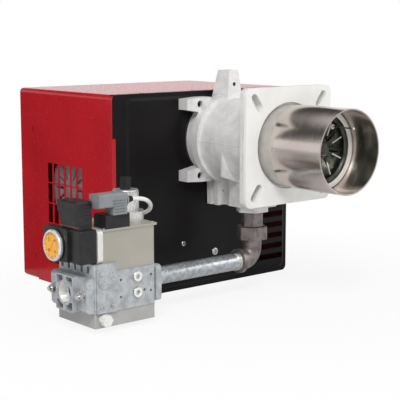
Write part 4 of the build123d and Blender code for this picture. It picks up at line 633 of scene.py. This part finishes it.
# %% Parting lines and neck seal
BARREL_RADIUS = 82.0
for side, word in ((-1, "left"), (1, "right")):
    near, far = sorted((side * (BARREL_RADIUS - 0.8), side * (BARREL_RADIUS + 0.7)))
    line = beveled(f"parting_line_{word}", (near, 40, -0.8), (far, 158, 0.8), 0.4)
    finished(line, "blasted_die_cast_aluminium")
SEAL_THICK = 1.8
panel_y = low_high("front_panel")[0].y
SEAL = [(0, 79), (0, 82.6), (1.4, 83.2), (SEAL_THICK, 82.8), (SEAL_THICK, 79), (0, 79)]
seal = turned("neck_seal", SEAL, (0, panel_y - SEAL_THICK, 0), (0, 1, 0), steps=64)
finished(seal, "black_rubber")
print("panel face at y", round(panel_y, 1))

# %% [markdown]
# Two rivets in each red side hold what is fixed inside, and three screws along the top front edge hold the
# sleeve to the front panel. They are so small that only their shadow shows, but a bare sheet looks like a
# toy.

# %% Rivets and sleeve screws
RIVET = [(0, 2.4), (0.4, 2.3), (0.9, 1.5), (1.1, 0.0)]
side_low, side_high = low_high("side_sleeve")
for k, (y, z) in enumerate(((430, 50), (272, 48))):
    for wall, way, word in ((side_low.x, -1, "left"), (side_high.x, 1, "right")):
        finished(turned(f"side_rivet_{word}_{k + 1}", RIVET, (wall, y, z), (way, 0, 0), steps=16),
                 "gloss_red_powder_coat")
for k, x in enumerate((-180, -50, 120)):
    finished(turned(f"sleeve_screw_{k + 1}", HEAD, (x, side_low.y + 12, side_high.z), (0, 0, 1), steps=20),
             "zinc_plated_screw")
print("new pieces:", len(PIECES))

# %% [markdown]
# The burner is looked at like a part on a light table: a white floor, white all round, and one large soft
# lamp from the front left. A shader reads Is Camera Ray to show the world and the floor as plain white,
# and glossy rays see that white too, so that metal mirrors the same room. The floor keeps the shadow near
# the burner and fades into the white further out, which a plain plane would not do. Other rays get half
# of that light, or the lamps would draw no shapes.

# %% World and floor
scene = bpy.context.scene
scene.view_settings.view_transform = "Standard"
ROOM_LIGHT = 0.5
room = bpy.data.worlds.new("light_table")
scene.world = room
room.use_nodes = True
tree = room.node_tree
rays = add(tree, "ShaderNodeLightPath").outputs
seen = add(tree, "ShaderNodeMath", {0: rays["Is Camera Ray"], 1: rays["Is Glossy Ray"]},
           operation="MAXIMUM")
seen = add(tree, "ShaderNodeMath", {0: seen.outputs[0], 1: rays["Is Transmission Ray"]},
           operation="MAXIMUM")
level = add(tree, "ShaderNodeMapRange", {"Value": seen.outputs[0], "To Min": ROOM_LIGHT, "To Max": 1.0})
tree.nodes["Background"].inputs["Color"].default_value = (1, 1, 1, 1)
tree.links.new(level.outputs[0], tree.nodes["Background"].inputs["Strength"])

floor_low = CAD_BOX[0][2]
floor = start("plane", "floor", size=12, location=(0, 0, floor_low - 0.2 * MM))
white = bpy.data.materials.new("white_floor")
white.use_nodes = True
tree = white.node_tree
shader = tree.nodes["Principled BSDF"]
shader.inputs["Base Color"].default_value = linear("#F2F2F2")
shader.inputs["Roughness"].default_value = 0.9
place = add(tree, "ShaderNodeTexCoord").outputs["Object"]
reach = add(tree, "ShaderNodeVectorMath", {0: place}, operation="LENGTH").outputs["Value"]
fade = add(tree, "ShaderNodeMapRange", {"Value": reach, "From Min": 0.35, "From Max": 0.9, "To Min": 0.85,
                                        "To Max": 1.0}).outputs[0]
rays = add(tree, "ShaderNodeLightPath").outputs
share = add(tree, "ShaderNodeMath", {0: fade, 1: rays["Is Camera Ray"]}, operation="MULTIPLY").outputs[0]
glow = add(tree, "ShaderNodeEmission", {"Color": (1, 1, 1, 1), "Strength": 1.0}).outputs[0]
mixed = add(tree, "ShaderNodeMixShader", {0: share, 1: shader.outputs[0], 2: glow}).outputs[0]
tree.links.new(mixed, tree.nodes["Material Output"].inputs["Surface"])
floor.data.materials.append(white)
print("floor at", round(floor_low / MM, 1), "mm")

# %% [markdown]
# One big area lamp from the front left shapes the castings, and a weaker one from the right keeps the far
# side open. Their power is set so that a colour renders about as it is written.

# %% Lamps
def lamp(name, place, aim, size, power):
    """A square soft lamp that looks at a point; metres and watts."""
    bpy.ops.object.select_all(action="DESELECT")
    bpy.ops.object.light_add(type="AREA", location=place)
    made = bpy.context.object
    made.name = name
    made.data.energy = power
    made.data.size = size
    made.rotation_euler = (Vector(place) - Vector(aim)).to_track_quat("Z", "Y").to_euler()
    print(name, power, "W")


lamp("key_lamp", (-1.5, -1.5, 1.7), (-0.05, 0.1, -0.1), 0.8, 42)
lamp("fill_lamp", (1.8, -1.2, 0.9), (0.0, 0.1, -0.1), 1.2, 10)

# %% [markdown]
# Two black cards, one high behind and one beside the cabinet, are seen by mirrors only. Without the first
# a metal tube in a white room has nothing dark to reflect and so no shape, and without the second the red
# coat mirrors so much white that it looks pink. A lamp could darken neither. Each card is a plane that is
# set upright, turned and moved.

# %% Black cards
felt = bpy.data.materials.new("black_felt")
felt.use_nodes = True
shader = felt.node_tree.nodes["Principled BSDF"]
shader.inputs["Base Color"].default_value = linear("#0A0A0A")
shader.inputs["Roughness"].default_value = 1.0
for name, width, height, place, turn in (("high_card", 3.2, 1.2, (-0.05, 1.5, 1.2), 0),
                                         ("side_card", 0.223, 0.395, (-0.359, 0.5076, -0.107), -40.2)):
    card = start("plane", name, size=1)
    bpy.ops.object.mode_set(mode="EDIT")
    bpy.ops.mesh.select_all(action="SELECT")
    bpy.ops.transform.resize(value=(width, height, 1), center_override=(0, 0, 0))
    bpy.ops.object.mode_set(mode="OBJECT")
    swing(90, "X")
    swing(turn, "Z")
    card.location = place
    bpy.ops.object.transform_apply(location=True, rotation=True, scale=True)
    card.data.materials.append(felt)
    card.visible_camera = card.visible_diffuse = card.visible_shadow = False
    print(name, width, "by", height, "m")

# %% [markdown]
# The camera stands to the front left, a little above the axis. Its long lens from two metres off keeps the
# flange nearly square, as in a catalogue.

# %% Camera
CAMERA_TURN, CAMERA_RISE = radians(-40.23), radians(8.98)
bpy.ops.object.select_all(action="DESELECT")
bpy.ops.object.camera_add(location=(-1.50133, -1.51884, 0.23098))
camera = bpy.context.object
back = Vector((sin(CAMERA_TURN) * cos(CAMERA_RISE), -cos(CAMERA_TURN) * cos(CAMERA_RISE),
               sin(CAMERA_RISE)))
camera.rotation_euler = back.to_track_quat("Z", "Y").to_euler()
camera.data.lens = 101.45
camera.data.sensor_width = 36
scene.camera = camera
print("camera lens", round(camera.data.lens, 2))
